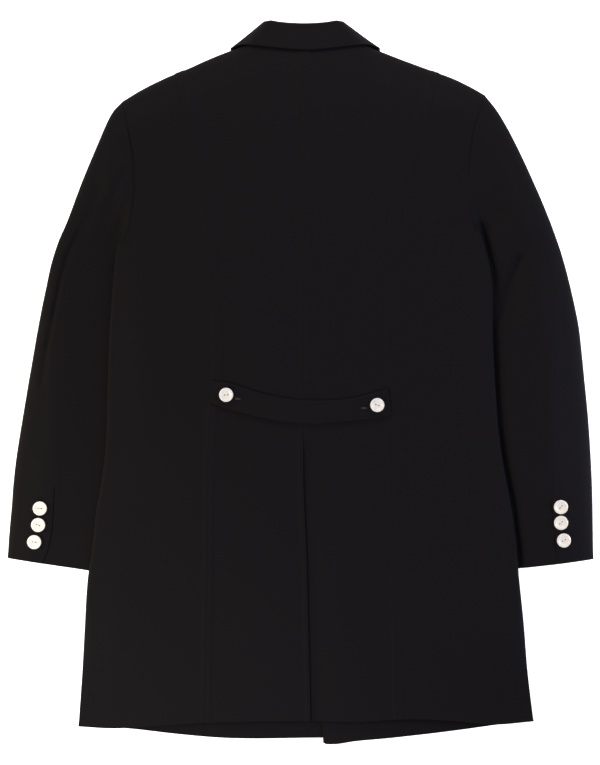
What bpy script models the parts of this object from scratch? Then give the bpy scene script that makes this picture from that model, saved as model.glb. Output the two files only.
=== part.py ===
"""A long tailored blazer, laid face down on a flat surface and seen from its back.

Every length is in millimetres until a mesh is made. X runs across the garment, Y from its hem to its
collar and Z up from the surface it lies on. Its left side (the wearer's) is at -X. Each panel is a
grid of points on its outer face, with a second grid one cloth thickness inside it.
"""

import math
from collections import namedtuple

import bpy
import numpy as np

METRES = 0.001
CLOTH = 2.0  # thickness of a panel with its interfacing
SEAM = 0.3  # space between two pieces at a seam
GHOST_STEP = 20.0  # level step that sets the direction of a wall's edge at an armhole
LAYER = 3.0  # height of one layer of cloth and the air over it, where pieces lie on each other

BACK_TOP = 17.0  # height of the back's outer face
HEM_TOP = 13.5  # its height at the hem, where nothing fills the garment out
HEM_FALL = 130.0  # length over which it comes down to that
PAD_RISE = 3.0  # what a shoulder pad adds
PAD_RADIUS = 75.0
EDGE_MIDDLE = 8.0  # height of the side and shoulder edges, where front and back meet
EDGE_EASE = 45.0  # width over which the back rounds off towards an edge
TUCK = 7.3  # height to which a sleeve lifts the side of the body that lies on it
TUCK_LOW = 6.2  # top of the sleeve in there
TUCK_MARGIN = 14.0
TUCK_FADE = 75.0
EDGE_RISE = 0.45  # share of that lift which an edge of the body takes up

NECK_CENTRE = 6.0
BACK_NECK = 68.0  # half width of the open neck, at the back and at the fronts
FRONT_NECK = 76.0
NECK_FADE = 22.0

BACK_SHOULDER_ROLL = 13.0
FRONT_SHOULDER_ROLL = 11.0
FRONT_SIDE_ROLL = 12.0
QUICK_SHARE = 0.62  # share of a rise that a rounded edge takes, the rest comes gently
ROUNDNESS = 2.3  # a rounded edge is as wide as its rise squared over this
ROLL_RADIUS = 2.5  # outer radius of the collar's and lapels' folds

BUTTON_RADIUS = 9.5
BUTTON_HEIGHT = 3.0
BUTTON_SIDES = 14
CUFF_BUTTON_CLEAR = 0.5  # added under the cuff buttons, which sit across a curved sleeve

VENT_TOP = -101.0
VENT_UNDERLAP = 38.0
VENT_DROP = 2.6  # how far the underlap lies below the panel over it
VENT_SLOPE = 40.0
UNDERLAP_SLOPE = 14.0  # height of the underlap's slanted top end
VENT_HOLD = 2.0  # width of the column of faces beside the centre seam

LOWER_ROWS = 14  # rows of a panel up to the underarm
VENT_ROW = 7  # the row that passes the vent's top
UNDERARM_ROWS = 3  # rows that start an armhole, close together
UNDERARM_ROLL = 4.9  # height that they take up
EDGE_COLUMNS = 4  # columns of faces round a side edge
BACK_TOP_ROWS = 4  # rows of faces round the back's shoulder edge
FRONT_TOP_ROWS = 3
BACK_COLUMNS = 4  # columns of faces across a back panel inside its rounded edge
ROW_GROWTH = 1.25  # how the rows of an armhole spread out
FRONT_OVERLAP = 40.0  # width over which the closed fronts lie on each other
TURNBACK_EASE = 60.0  # width over which cloth comes down beside what lies under it

SLEEVE_ROWS = 16
TOP_COLUMNS = 14  # columns of faces over the top of a sleeve
ELBOW_COLUMN = 8  # the column on the elbow seam
LOOP = TOP_COLUMNS + 10  # points around a sleeve
FRONT_SEAM_COLUMN = LOOP - 4  # the column on the seam of the underside
INNER_ROLL = 4.0  # width of a sleeve's inner fold
OUTER_ROLL_TOP = 18.0  # largest width of its outer fold, over it and under it
OUTER_ROLL_UNDER = 14.0
OUTER_EASE = 50.0
CROWN_EASE = 38.0  # width over which a sleeve comes up from under the body

Edge = namedtuple("Edge", "y left right")
Seams = namedtuple("Seams", "y left centre right")
Point = namedtuple("Point", "x y")
SleeveRow = namedtuple("SleeveRow", "outer_x outer_y inner_x inner_y elbow inner_z outer_z crown")
CollarRow = namedtuple("CollarRow", "fold_x fold_y fold_z free_x free_y free_z neck_x neck_y neck_z lean")
LapelRow = namedtuple("LapelRow", "fold_x fold_y edge_x edge_y")
Fold = namedtuple("Fold", "start_x start_y end_x end_y depth width")

SIDES = [
    Edge(-445, -285, 300.5),
    Edge(-363, -280, 291.5),
    Edge(-317, -277.5, 288),
    Edge(-250, -273, 281),
    Edge(-204, -267, 277),
    Edge(-157, -261, 270.5),
    Edge(-115, -253.5, 262.5),
    Edge(-74, -249.5, 256),
    Edge(-10, -248, 250.5),
    Edge(72, -245, 247),
    Edge(136, -239.5, 246),
    Edge(180, -235, 236),
    Edge(210, -232, 227),
]
SEAM_LINES = [
    Seams(-450, -122, 13.5, 126.5),
    Seams(-345, -120.5, 11, 124.5),
    Seams(-230, -118, 8, 122),
    Seams(-101, -116.5, 3.5, 117),
    Seams(-50, -114, 4, 113.5),
    Seams(30, -106, 4.5, 113.5),
    Seams(124, -111, 6, 120),
    Seams(217, -121, 7, 129.5),
    Seams(302, -134, 7, 146.5),
    Seams(388, -153, 6, 170),
    Seams(440, -164, 5, 184),
]
TOP_LINE = [
    Point(-229, 362),
    Point(-206, 376),
    Point(-175, 391.5),
    Point(-144.5, 404),
    Point(-113.5, 418),
    Point(-88, 428),
    Point(-70, 434),
    Point(-48, 437),
    Point(5, 436.5),
    Point(60, 437),
    Point(82, 434),
    Point(99, 427.5),
    Point(119, 420),
    Point(165, 403),
    Point(196, 391.5),
    Point(227, 375.5),
    Point(238, 369),
]
BACK_HEM = [
    Point(-286, -441.5),
    Point(-238, -444),
    Point(-190, -441),
    Point(-129, -437),
    Point(-60, -435),
    Point(13, -434.6),
    Point(71, -436),
    Point(140, -432),
    Point(205, -435),
    Point(246, -439),
    Point(300, -435),
]
FRONT_EDGE_HEM = -452.0  # height of the lowest row at a front's free edge, before it takes up the hem line
LEFT_FRONT_HEM = [
    Point(-286, -441.5),
    Point(-222, -445),
    Point(-160, -452),
    Point(-110, -456.5),
    Point(28, -457),
    Point(75, -457),
]
RIGHT_FRONT_HEM = [
    Point(25, -465),
    Point(41, -465),
    Point(72, -461),
    Point(119, -457),
    Point(165, -452),
    Point(212, -446),
    Point(255, -440),
    Point(300, -435),
]
LEFT_ARMHOLE = [
    Point(-235, 180),
    Point(-224, 190),
    Point(-218, 207),
    Point(-214, 235),
    Point(-213.5, 261),
    Point(-215, 287),
    Point(-220.6, 319),
    Point(-229, 362),
]
RIGHT_ARMHOLE = [
    Point(230.5, 197),
    Point(223, 206),
    Point(218.5, 221),
    Point(216.5, 240),
    Point(216, 270),
    Point(217.5, 300),
    Point(225, 337),
    Point(238, 369),
]
SHOULDER_PADS = [Point(-180, 335), Point(186, 340)]
ROLL_START = 130.0  # Y at which the closing edge turns into the roll line
ROLL_END = 366.0  # and at which that turns into the neckline
# The closure: the right front's edge, and from its top the line on which the lapel rolls.
CLOSING_EDGE = [Point(30, -470), Point(27, -400), Point(12, -150), Point(-5, ROLL_START)]
LEFT_ROLL = [Point(35, ROLL_START), Point(-24, ROLL_END)]
RIGHT_ROLL = [Point(-5, ROLL_START), Point(33, ROLL_END)]
LEFT_NECKLINE = [Point(-24, ROLL_END), Point(-46, 398), Point(-62, 420), Point(-72, 434)]
RIGHT_NECKLINE = [Point(33, ROLL_END), Point(56, 398), Point(73, 420), Point(83.5, 432)]

LEFT_SLEEVE = [
    SleeveRow(-246.5, 341, -239.8, 173.5, 0.56, 7.4, 8.5, 19),
    SleeveRow(-262, 303, -237.5, 159, 0.53, 4.6, 8.5, 20),
    SleeveRow(-281, 257, -235, 143, 0.55, 3.2, 8, 19),
    SleeveRow(-299, 209, -230, 122, 0.68, 3.2, 8, 18),
    SleeveRow(-316, 168, -223, 100, 0.80, 3.2, 8, 17),
    SleeveRow(-328, 119, -217, 74, 0.88, 3.2, 7.5, 17),
    SleeveRow(-337, 74, -213, 44, 0.85, 3.2, 7.5, 17),
    SleeveRow(-345, 28, -212, 8, 0.79, 3.2, 7.5, 17),
    SleeveRow(-353, -18, -213, -30, 0.75, 3.2, 7.5, 17),
    SleeveRow(-360.5, -66, -217, -72, 0.69, 3.2, 7, 16),
    SleeveRow(-367, -113, -222, -120, 0.64, 3.2, 7, 15.5),
    SleeveRow(-371, -160, -229, -172, 0.62, 3.2, 6.5, 15),
    SleeveRow(-374.5, -195, -236, -212, 0.61, 3.2, 6, 14),
    SleeveRow(-376.7, -225, -242, -246, 0.655, 3.2, 6, 13),
]
RIGHT_SLEEVE = [
    SleeveRow(253, 349, 236, 188, 0.56, 7.4, 8.5, 20),
    SleeveRow(269, 322, 238, 174, 0.53, 4.6, 9, 22),
    SleeveRow(287, 286, 238, 157, 0.55, 3.2, 9.5, 23),
    SleeveRow(304, 248, 236, 137, 0.66, 3.2, 10, 24),
    SleeveRow(320, 209, 229, 115, 0.76, 3.2, 10, 24),
    SleeveRow(335, 167, 222, 88, 0.83, 3.2, 10, 24),
    SleeveRow(347, 124, 217, 58, 0.84, 3.2, 10, 24),
    SleeveRow(358, 72, 215, 24, 0.78, 3.2, 10, 24),
    SleeveRow(364, 16, 216, -18, 0.73, 3.2, 10, 24),
    SleeveRow(369, -35, 219, -62, 0.69, 3.2, 10, 24),
    SleeveRow(372, -87, 225, -112, 0.655, 3.2, 10, 24),
    SleeveRow(374.3, -139, 233, -164, 0.63, 3.2, 10, 23.5),
    SleeveRow(375.5, -185, 240, -208, 0.63, 3.2, 9.5, 22.5),
    SleeveRow(376.7, -226, 247, -243, 0.64, 3.2, 9, 21),
]
LEFT_FOLDS = [
    Fold(-250, 240, -232, 205, 2.5, 9),
    Fold(-228, 226, -238, 186, 2.0, 8),
]
RIGHT_FOLDS = [Fold(288, 178, 258, 92, 4.0, 16)]

# Half of the collar, from the centre of the back to its end on the left front. Lean is the direction
# that its outer face looks in: 90 up, 0 out to the side, -90 down.
COLLAR = [
    CollarRow(4, 459, 17.5, 5, 427.8, 20, 5, 437, 17, 90),
    CollarRow(-12, 459.6, 17.5, -20, 429.4, 20, -14, 437.2, 17, 90),
    CollarRow(-28, 461.2, 17.5, -45, 432.2, 20, -34, 438, 17, 90),
    CollarRow(-39, 463.2, 17.4, -65, 434.4, 20, -50, 438.4, 17, 82),
    CollarRow(-44.6, 462.6, 15.2, -78, 434.6, 18.2, -60, 439.6, 15.4, 48),
    CollarRow(-46.8, 461.8, 10, -88, 432, 10.5, -65, 440.8, 10, 0),
    CollarRow(-45.6, 457, 4.6, -90, 429, 1.8, -65.5, 436, 4.8, -55),
    CollarRow(-42.5, 448, 2.5, -90.5, 416, 0, -63, 427.6, 3, -90),
    CollarRow(-37, 425, 2.5, -98, 392, 0, -51, 408, 3, -90),
    CollarRow(-31, 397, 2.5, -106, 370, 0, -36, 386, 3, -90),
    CollarRow(-24.8, 369, 2.5, -107, 350, 0, -27, 373, 3, -90),
]
COLLAR_FOLD_CENTRE = 4.0  # X of the line that the collar's fold is mirrored about
COLLAR_FREE_CENTRE = 6.3  # and of its lower edge
NECK_CLEAR = 3.0  # space between the stand and the curved necklines of the fronts
LAPEL = [
    LapelRow(34, 134, 30, 133),
    LapelRow(27, 162, 8, 157),
    LapelRow(15, 210, -24, 200),
    LapelRow(3, 258, -57, 243),
    LapelRow(-9, 306, -87, 284),
    LapelRow(-18, 342, -108, 321),
    LapelRow(-23, 362, -84, 345),
]
RIGHT_LAPEL_START = 2  # the right lapel shows only above the place where the roll lines cross
LAPEL_CENTRE = 6.0
OVERLAP_STEP = 2.8  # height of one front over the other where they are closed

BELT_TOP = [
    Point(-113, 4),
    Point(-80, -3),
    Point(-62, -9.5),
    Point(-36, -16),
    Point(-9, -20.5),
    Point(28, -22),
    Point(66, -19),
    Point(112, -7),
]
BELT_BOTTOM = [
    Point(-115.5, -25),
    Point(-97, -32),
    Point(-76, -38),
    Point(-48, -44.5),
    Point(-19, -50),
    Point(9, -52),
    Point(47, -50),
    Point(85, -46),
    Point(117, -41),
]
BELT_THICKNESS = 2.2
BELT_COLUMNS = 14
BELT_BUTTONS = [Point(-95.5, -15.6), Point(99.3, -29)]
LEFT_CUFF_BUTTONS = [Point(-335.8, -162.7), Point(-338, -183.7), Point(-343.3, -205.8)]
RIGHT_CUFF_BUTTONS = [Point(336.4, -160.6), Point(337, -181), Point(340, -203.6)]
FRONT_BUTTONS = [Point(14, 112), Point(20, 17), Point(26, -78)]

CLOTH_BLACK = (0.0103, 0.0097, 0.0110, 1.0)
BUTTON_WHITE = (0.92, 0.90, 0.87, 1.0)

LEFT, RIGHT = -1, 1
ELBOW_SEAM_TOP = {LEFT: 287.0, RIGHT: 297.0}  # Y at which a sleeve's seam meets the back's armhole
FRONT_SEAM_RISE = 32.0  # and how far over the underarm its other seam meets the front's


# ---- small curves
def smooth(t):
    t = np.clip(t, 0.0, 1.0)
    return t * t * (3.0 - 2.0 * t)


def near(distance, margin, fade):
    """1 within the margin, easing to 0 over the fade beyond it."""
    return 1.0 - smooth((np.asarray(distance, float) - margin) / fade)


def quarter(t):
    """Height of a quarter circle of radius 1 at t from its foot."""
    t = np.clip(t, 0.0, 1.0)
    return np.sqrt(np.maximum(0.0, 1.0 - (1.0 - t) ** 2))


def through(keys, values, at):
    """A smooth curve through the values at rising keys, straight on beyond its ends."""
    keys = np.asarray(keys, float)
    values = np.asarray(values, float)
    at = np.asarray(at, float)
    slopes = np.gradient(values, keys)
    i = np.clip(np.searchsorted(keys, at) - 1, 0, len(keys) - 2)
    span = keys[i + 1] - keys[i]
    t = (at - keys[i]) / span
    inside = np.clip(t, 0.0, 1.0)
    h = inside * inside * (3.0 - 2.0 * inside)
    rise = inside * (1.0 - inside) ** 2 * slopes[i] - inside**2 * (1.0 - inside) * slopes[i + 1]
    curve = values[i] * (1.0 - h) + values[i + 1] * h + span * rise
    return curve + span * ((t - 1.0) * (t > 1.0) * slopes[i + 1] + t * (t < 0.0) * slopes[i])


def across(points, x):
    """Y of a line of points at x."""
    return through([p.x for p in points], [p.y for p in points], x)


def along(points, y):
    """X of a line of points at y, the points rising in y."""
    return through([p.y for p in points], [p.x for p in points], y)


def column(rows, name, at):
    return through([row.y for row in rows], [getattr(row, name) for row in rows], at)


def angles(count):
    return np.linspace(0.0, math.pi / 2, count + 1)


def roll_distances(radius, count):
    """Distances from an edge at which a quarter round of this width is cut into equal angles."""
    return radius * (1.0 - np.cos(angles(count)))


def outline_distance(x, y, outline):
    """Distance outside a closed outline of points, 0 inside it."""
    corners = np.array([(p.x, p.y) for p in outline], float)
    x, y = np.broadcast_arrays(np.asarray(x, float), np.asarray(y, float))
    best = np.full(x.shape, np.inf)
    inside = np.zeros(x.shape, bool)
    for (ax, ay), (bx, by) in zip(corners, np.roll(corners, -1, axis=0)):
        length = (bx - ax) ** 2 + (by - ay) ** 2
        t = np.clip(((x - ax) * (bx - ax) + (y - ay) * (by - ay)) / length, 0.0, 1.0)
        best = np.minimum(best, np.hypot(x - ax - t * (bx - ax), y - ay - t * (by - ay)))
        crosses = ((ay > y) != (by > y)) & (x < (bx - ax) * (y - ay) / (by - ay + 1e-12) + ax)
        inside ^= crosses
    return np.where(inside, 0.0, best)


def fold_depth(folds, x, y):
    """Depth of the pressed-in folds at a point of a sleeve."""
    depth = 0.0
    for fold in folds:
        run = np.array([fold.end_x - fold.start_x, fold.end_y - fold.start_y])
        t = ((x - fold.start_x) * run[0] + (y - fold.start_y) * run[1]) / (run @ run)
        t = np.clip(t, 0.0, 1.0)
        away = np.hypot(x - fold.start_x - t * run[0], y - fold.start_y - t * run[1])
        depth = depth + fold.depth * np.exp(-((away / fold.width) ** 2))
    return depth


# ---- the body's lines and heights
def side_x(side, y):
    return column(SIDES, "left" if side == LEFT else "right", y)


def underarm(side):
    return (LEFT_ARMHOLE if side == LEFT else RIGHT_ARMHOLE)[0]


def shoulder_point(side):
    return (LEFT_ARMHOLE if side == LEFT else RIGHT_ARMHOLE)[-1]


def outer_x(side, y):
    """The body's outer edge: its side up to the underarm, and the armhole above it."""
    armhole = LEFT_ARMHOLE if side == LEFT else RIGHT_ARMHOLE
    return np.where(y <= armhole[0].y, side_x(side, y), along(armhole, y))


def tucked(side, x, y):
    """1 where the sleeve lies under the body, fading to 0 beyond its inner edge, cuff and underarm."""
    rows = LEFT_SLEEVE if side == LEFT else RIGHT_SLEEVE
    heights = [row.inner_y for row in reversed(rows)]
    inner = through(heights, [row.inner_x for row in reversed(rows)], np.clip(y, heights[0], heights[-1]))
    beyond = np.maximum(0.0, -side * (x - inner))
    below = np.maximum(0.0, heights[0] - y)
    above = np.maximum(0.0, y - underarm(side).y)
    return near(np.hypot(beyond, np.hypot(below, above)), TUCK_MARGIN, TUCK_FADE)


def edge_middle(side, x, y):
    return EDGE_MIDDLE + EDGE_RISE * TUCK * tucked(side, x, y)


def back_height(x, y):
    """Height of the back's outer face away from its edges."""
    height = BACK_TOP - (BACK_TOP - HEM_TOP) * near(y - across(BACK_HEM, x), 0.0, HEM_FALL)
    for pad in SHOULDER_PADS:
        height = height + PAD_RISE * near(np.hypot(x - pad.x, y - pad.y), 0.0, PAD_RADIUS)
    return height


def turnback_outline(side):
    """What lies under a front at its neck: its lapel and the end of the collar."""
    rows = LAPEL if side == LEFT else LAPEL[RIGHT_LAPEL_START:]
    line = [Point(row.fold_x, row.fold_y) for row in rows]
    line += [Point(-42, 448), Point(-50, 460), Point(-90, 430), Point(-98, 392), Point(-107, 350)]
    line += [Point(row.edge_x, row.edge_y) for row in reversed(rows[:-1])]
    if side == RIGHT:
        line = [Point(2 * LAPEL_CENTRE - p.x, p.y) for p in line]
    return line


def closing_x(y):
    """The right front's free edge: the closing edge and above it the roll line."""
    return np.where(y <= ROLL_START, along(CLOSING_EDGE, y), front_neck_x(RIGHT, y))


def front_neck_x(side, y):
    roll, neckline = (LEFT_ROLL, LEFT_NECKLINE) if side == LEFT else (RIGHT_ROLL, RIGHT_NECKLINE)
    return np.where(y <= ROLL_END, along(roll, y), along(neckline, y))


def front_edge_x(side, y):
    if side == RIGHT:
        return closing_x(y)
    return np.where(y <= ROLL_START, along(CLOSING_EDGE, y) + FRONT_OVERLAP, front_neck_x(LEFT, y))


def front_lift(side, x, y):
    """Height of a front's outer face over the surface: what lies under it lifts it."""
    lift = TUCK * tucked(side, x, y)
    lift = np.maximum(lift, LAYER * near(outline_distance(x, y, turnback_outline(side)), 8.0, TURNBACK_EASE))
    buttons = 0.0
    for spot in FRONT_BUTTONS:
        away = near(np.hypot(x - spot.x, (y - spot.y) * 0.8), 22.0, 90.0)
        buttons = np.maximum(buttons, (BUTTON_HEIGHT + 2 * SEAM) * away)
    lift = np.maximum(lift, buttons)
    return lift + over_left_front(x, y) if side == RIGHT else lift


def over_left_front(x, y):
    """Height of the right front and its lapel over the left front, where they lie inside it."""
    turnback = LAYER * near(outline_distance(x, y, turnback_outline(LEFT)), 8.0, TURNBACK_EASE)
    above = near(x - front_edge_x(LEFT, y), 12.0, TURNBACK_EASE) * near(y, 262.0, 45.0)
    return above * (OVERLAP_STEP + turnback)


# ---- grids and the walls made from them
def with_ghosts(points, first_row=None, last_row=None, first_column=None, last_column=None):
    """The grid with one more row and column all round, each running straight on unless it is given."""
    rows, columns = points.shape[:2]
    wide = np.empty((rows + 2, columns + 2, 3))
    wide[1:-1, 1:-1] = points
    wide[0, 1:-1] = 2 * points[0] - points[1] if first_row is None else first_row
    wide[-1, 1:-1] = 2 * points[-1] - points[-2] if last_row is None else last_row
    wide[1:-1, 0] = 2 * points[:, 0] - points[:, 1] if first_column is None else first_column
    wide[1:-1, -1] = 2 * points[:, -1] - points[:, -2] if last_column is None else last_column
    return wide


def face_directions(wide, flip):
    """Unit directions out of the cloth at each point, from its neighbours on the ghosted grid."""
    up = wide[2:, 1:-1] - wide[:-2, 1:-1]
    over = wide[1:-1, 2:] - wide[1:-1, :-2]
    out = np.cross(over, up)
    out = out / np.linalg.norm(out, axis=2, keepdims=True)
    return -out if flip else out


def cloth_material(name, colour, roughness):
    material = bpy.data.materials.get(name) or bpy.data.materials.new(name)
    material.use_nodes = True
    shader = material.node_tree.nodes["Principled BSDF"]
    shader.inputs["Base Color"].default_value = colour
    shader.inputs["Roughness"].default_value = roughness
    shader.inputs["Metallic"].default_value = 0.0
    return material


def wall(name, outer, inner, flip=False, turn=False):
    """One closed body between two grids of the same size, outer face out."""
    rows, columns = outer.shape[:2]
    points = np.concatenate([outer.reshape(-1, 3), inner.reshape(-1, 3)])
    index = np.arange(rows * columns).reshape(rows, columns)
    below = index + rows * columns
    faces = []

    def quad(a, b, c, d):
        if flip:
            a, b, c, d = d, c, b, a
        if turn:
            a, b, c, d = b, c, d, a
        faces.append((a, b, c))
        faces.append((a, c, d))

    for r in range(rows - 1):
        for c in range(columns - 1):
            quad(index[r, c], index[r, c + 1], index[r + 1, c + 1], index[r + 1, c])
            quad(below[r, c], below[r + 1, c], below[r + 1, c + 1], below[r, c + 1])
    for c in range(columns - 1):
        quad(index[0, c + 1], index[0, c], below[0, c], below[0, c + 1])
        quad(index[-1, c], index[-1, c + 1], below[-1, c + 1], below[-1, c])
    for r in range(rows - 1):
        quad(index[r, 0], index[r + 1, 0], below[r + 1, 0], below[r, 0])
        quad(index[r + 1, -1], index[r, -1], below[r, -1], below[r + 1, -1])
    mesh = bpy.data.meshes.new(name)
    mesh.from_pydata((points * METRES).tolist(), [], [tuple(int(i) for i in face) for face in faces])
    mesh.update()
    piece = bpy.data.objects.new(name, mesh)
    bpy.context.scene.collection.objects.link(piece)
    mesh.materials.append(cloth_material("black wool", CLOTH_BLACK, 0.75))
    mesh.shade_smooth()
    mesh.set_sharp_from_angle(angle=math.radians(50))
    return piece


def thick_wall(name, wide, flip=False, turn=False, thickness=CLOTH):
    outer = wide[1:-1, 1:-1]
    inner = outer - thickness * face_directions(wide, flip)
    return wall(name, outer, inner, flip, turn)


# ---- body panels
ArmRows = namedtuple("ArmRows", "heights underarm")  # y of each row on the outer edge, index of the underarm


def panel_rows(side, middle, roll, roll_count):
    """Heights of a panel's rows along its outer edge: close together at the armhole's two ends."""
    hem_y = float(across(BACK_HEM, side_x(side, SIDES[0].y)))
    start, top_y = underarm(side).y, shoulder_point(side).y
    below_vent = list(np.linspace(hem_y, VENT_TOP - UNDERLAP_SLOPE, VENT_ROW)) + [VENT_TOP]
    lower = below_vent + list(np.linspace(VENT_TOP, start, LOWER_ROWS - VENT_ROW + 1)[1:])
    heights = lower + list(start + roll_distances(UNDERARM_ROLL, UNDERARM_ROWS)[1:])
    for goal, count in middle:
        low = heights[-1]
        heights += [low + (goal - low) * (j / count) ** ROW_GROWTH for j in range(1, count + 1)]
    heights += list(top_y - roll_distances(roll, roll_count)[::-1][1:])
    return ArmRows(np.array(heights), LOWER_ROWS)


def inner_heights(rows, inner_hem, inner_top, roll, roll_count):
    """The same rows along the panel's other edge."""
    hem_y, top_y = rows.heights[0], rows.heights[-1]
    up_to_vent = (rows.heights - hem_y) / (VENT_TOP - hem_y)
    share = (rows.heights - VENT_TOP) / (top_y - roll - VENT_TOP)
    heights = np.where(
        rows.heights <= VENT_TOP,
        inner_hem + up_to_vent * (VENT_TOP - inner_hem),
        VENT_TOP + share * (inner_top - roll - VENT_TOP),
    )
    heights[-roll_count:] = inner_top - roll_distances(roll, roll_count)[::-1][1:]
    return heights


def edge_shares(side, x, y, rows, side_distance, is_back):
    """How far a panel has come up from its rounded side edge: quickly (roll), then gently (ease)."""
    arm = underarm(side)
    middle = edge_middle(side, x, y)
    lift = TUCK * tucked(side, x, y)
    rise = QUICK_SHARE * (BACK_TOP - middle) if is_back else middle - lift
    width = np.minimum(FRONT_SIDE_ROLL, rise**2 / ROUNDNESS) if not is_back else rise**2 / ROUNDNESS
    above = np.arange(len(rows.heights))[:, None] > rows.underarm
    distance = np.where(above, np.hypot(x - arm.x, y - arm.y), side_distance)
    return quarter(distance / width), smooth(distance / EDGE_EASE)


def side_roll_width(side, y, is_back):
    x = side_x(side, y)
    middle = edge_middle(side, x, y)
    lift = TUCK * tucked(side, x, y)
    rise = QUICK_SHARE * (BACK_TOP - middle) if is_back else middle - lift
    return rise**2 / ROUNDNESS if is_back else np.minimum(FRONT_SIDE_ROLL, rise**2 / ROUNDNESS)


def rounded_height(middle, top, roll, ease):
    """Height of a face that rises from an edge by a quarter round and then gently."""
    start = middle + SEAM / 2
    round_height = QUICK_SHARE * (top - start)
    return start + round_height * roll + (top - start - round_height) * ease


def shoulder_share(x, neck):
    """1 along the shoulders, where the top edge is rounded, and 0 at the open neck."""
    return smooth((np.abs(x - NECK_CENTRE) - neck) / NECK_FADE)


def ghosted_panel(points, rows, shoulder, side):
    """Ghost points for a panel whose side edge and shoulder edge are rounded down to the middle."""
    first, second = points[:, 0], points[:, 1]
    side_ghost = 2 * first - second
    side_ghost[: rows.underarm + 1, :2] = second[: rows.underarm + 1, :2]
    arm = slice(rows.underarm + 1, None)
    side_ghost[arm] = second[arm] + GHOST_STEP * off_armhole(first[rows.underarm :], side)[1:]
    last, before = points[-1], points[-2]
    top_ghost = 2 * last - before
    share = shoulder[:, None]
    top_ghost[:, :2] = share * before[:, :2] + (1 - share) * top_ghost[:, :2]
    return with_ghosts(points, last_row=top_ghost, first_column=side_ghost)


def back_grid(side, part, rows, columns):
    """A back panel's outer face: the side panel up to its seam, or the centre panel from there."""
    hem_y, top_y = rows.heights[0], rows.heights[-1]
    seam = "left" if side == LEFT else "right"
    seam_top = column(SEAM_LINES, seam, 400.0)
    centre_top = column(SEAM_LINES, "centre", 437.0)
    ends = []
    for name, end_x in ((seam, seam_top), ("centre", centre_top)):
        hem_x = column(SEAM_LINES, name, -437.0)
        inner_hem, inner_top = across(BACK_HEM, hem_x), across(TOP_LINE, end_x)
        heights = inner_heights(rows, inner_hem, inner_top, BACK_SHOULDER_ROLL, BACK_TOP_ROWS)
        ends.append((column(SEAM_LINES, name, heights), heights))
    outer = (outer_x(side, rows.heights), rows.heights)
    gap = side * SEAM / 2
    if part == "side":
        start, stop = outer, (ends[0][0] + gap, ends[0][1])
    else:
        start, stop = (ends[0][0] - gap, ends[0][1]), (ends[1][0] + gap, ends[1][1])
    width = np.hypot(stop[0] - start[0], stop[1] - start[1])
    if part == "side":
        roll_width = side_roll_width(side, rows.heights, True)[:, None]
        step = roll_distances(roll_width, EDGE_COLUMNS)
        rest = (np.arange(1, columns + 1) / columns) ** 1.2
        inner_part = roll_width + (width[:, None] - roll_width) * rest[None, :]
        distance = np.concatenate([step, inner_part], axis=1)
        share = distance / width[:, None]
    else:
        share = np.tile(np.linspace(0, 1, columns + 1), (len(width), 1))
    x = start[0][:, None] + share * (stop[0] - start[0])[:, None]
    y = start[1][:, None] + share * (stop[1] - start[1])[:, None]
    height_share = (rows.heights[:, None] - hem_y) / (top_y - hem_y)
    hem_change = across(BACK_HEM, x[0]) - y[0]
    top_change = across(TOP_LINE, x[-1]) - y[-1]
    top_weight = height_share**4
    top_weight[-BACK_TOP_ROWS - 1 :] = 1.0
    y = y + hem_change[None, :] * (1 - height_share) ** 3 + top_change[None, :] * top_weight
    side_distance = np.abs(x - outer[0][:, None])
    roll, ease = edge_shares(side, x, y, rows, side_distance, True)
    if part == "side":
        below = slice(0, rows.underarm + 1)
        roll[below, : EDGE_COLUMNS + 1] = np.sin(angles(EDGE_COLUMNS))[None, :]
    from_top = across(TOP_LINE, x) - y
    top_roll = quarter(from_top / BACK_SHOULDER_ROLL)
    top_roll[-BACK_TOP_ROWS - 1 :] = np.sin(angles(BACK_TOP_ROWS))[::-1][:, None]
    top_ease = smooth(from_top / EDGE_EASE)
    shoulder = shoulder_share(x[-1], BACK_NECK)
    roll = roll * (1 - shoulder[None, :] * (1 - top_roll))
    ease = ease * (1 - shoulder[None, :] * (1 - top_ease))
    z = rounded_height(edge_middle(side, x, y), back_height(x, y), roll, ease)
    return np.stack([x, y, z], axis=2), shoulder


def add_vent(points, side):
    """Lowers the right centre panel beside the vent and runs it on under the left one."""
    if side == LEFT:
        return points
    x, y = points[:, -1, 0], points[:, -1, 1]
    beside = near(np.abs(points[..., 0] - x[:, None]), 2.0, 40.0)
    points[..., 2] -= VENT_DROP * beside * near(points[..., 1] - VENT_TOP, 0.0, VENT_SLOPE)
    lap = np.where(np.arange(len(y)) < VENT_ROW, 1.0, 0.0)
    extra = points[:, -1].copy()
    extra[:, 0] -= lap * VENT_UNDERLAP
    points[:, -1, 0] += VENT_HOLD
    return np.concatenate([points, extra[:, None]], axis=1)


def make_back(side, label):
    rows = back_rows(side)
    side_points, shoulder = back_grid(side, "side", rows, BACK_COLUMNS)
    flip = side == RIGHT
    wide = ghosted_panel(side_points, rows, shoulder, side)
    thick_wall(f"back_side_{label}", wide, flip)
    centre, shoulder = back_grid(side, "centre", rows, BACK_COLUMNS)
    plain = 2 * centre[-1] - centre[-2]
    share = shoulder[:, None]
    plain[:, :2] = share * centre[-2, :, :2] + (1 - share) * plain[:, :2]
    centre = add_vent(centre, side)
    if side == RIGHT:
        plain = np.concatenate([plain, plain[-1:]])
    wide = with_ghosts(centre, last_row=plain)
    thick_wall(f"back_centre_{label}", wide, flip)
    return side_points, rows


def back_rows(side):
    top = shoulder_point(side).y
    middle = ((ELBOW_SEAM_TOP[side], 5), (top - BACK_SHOULDER_ROLL, 2))
    return panel_rows(side, middle, BACK_SHOULDER_ROLL, BACK_TOP_ROWS)


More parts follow.
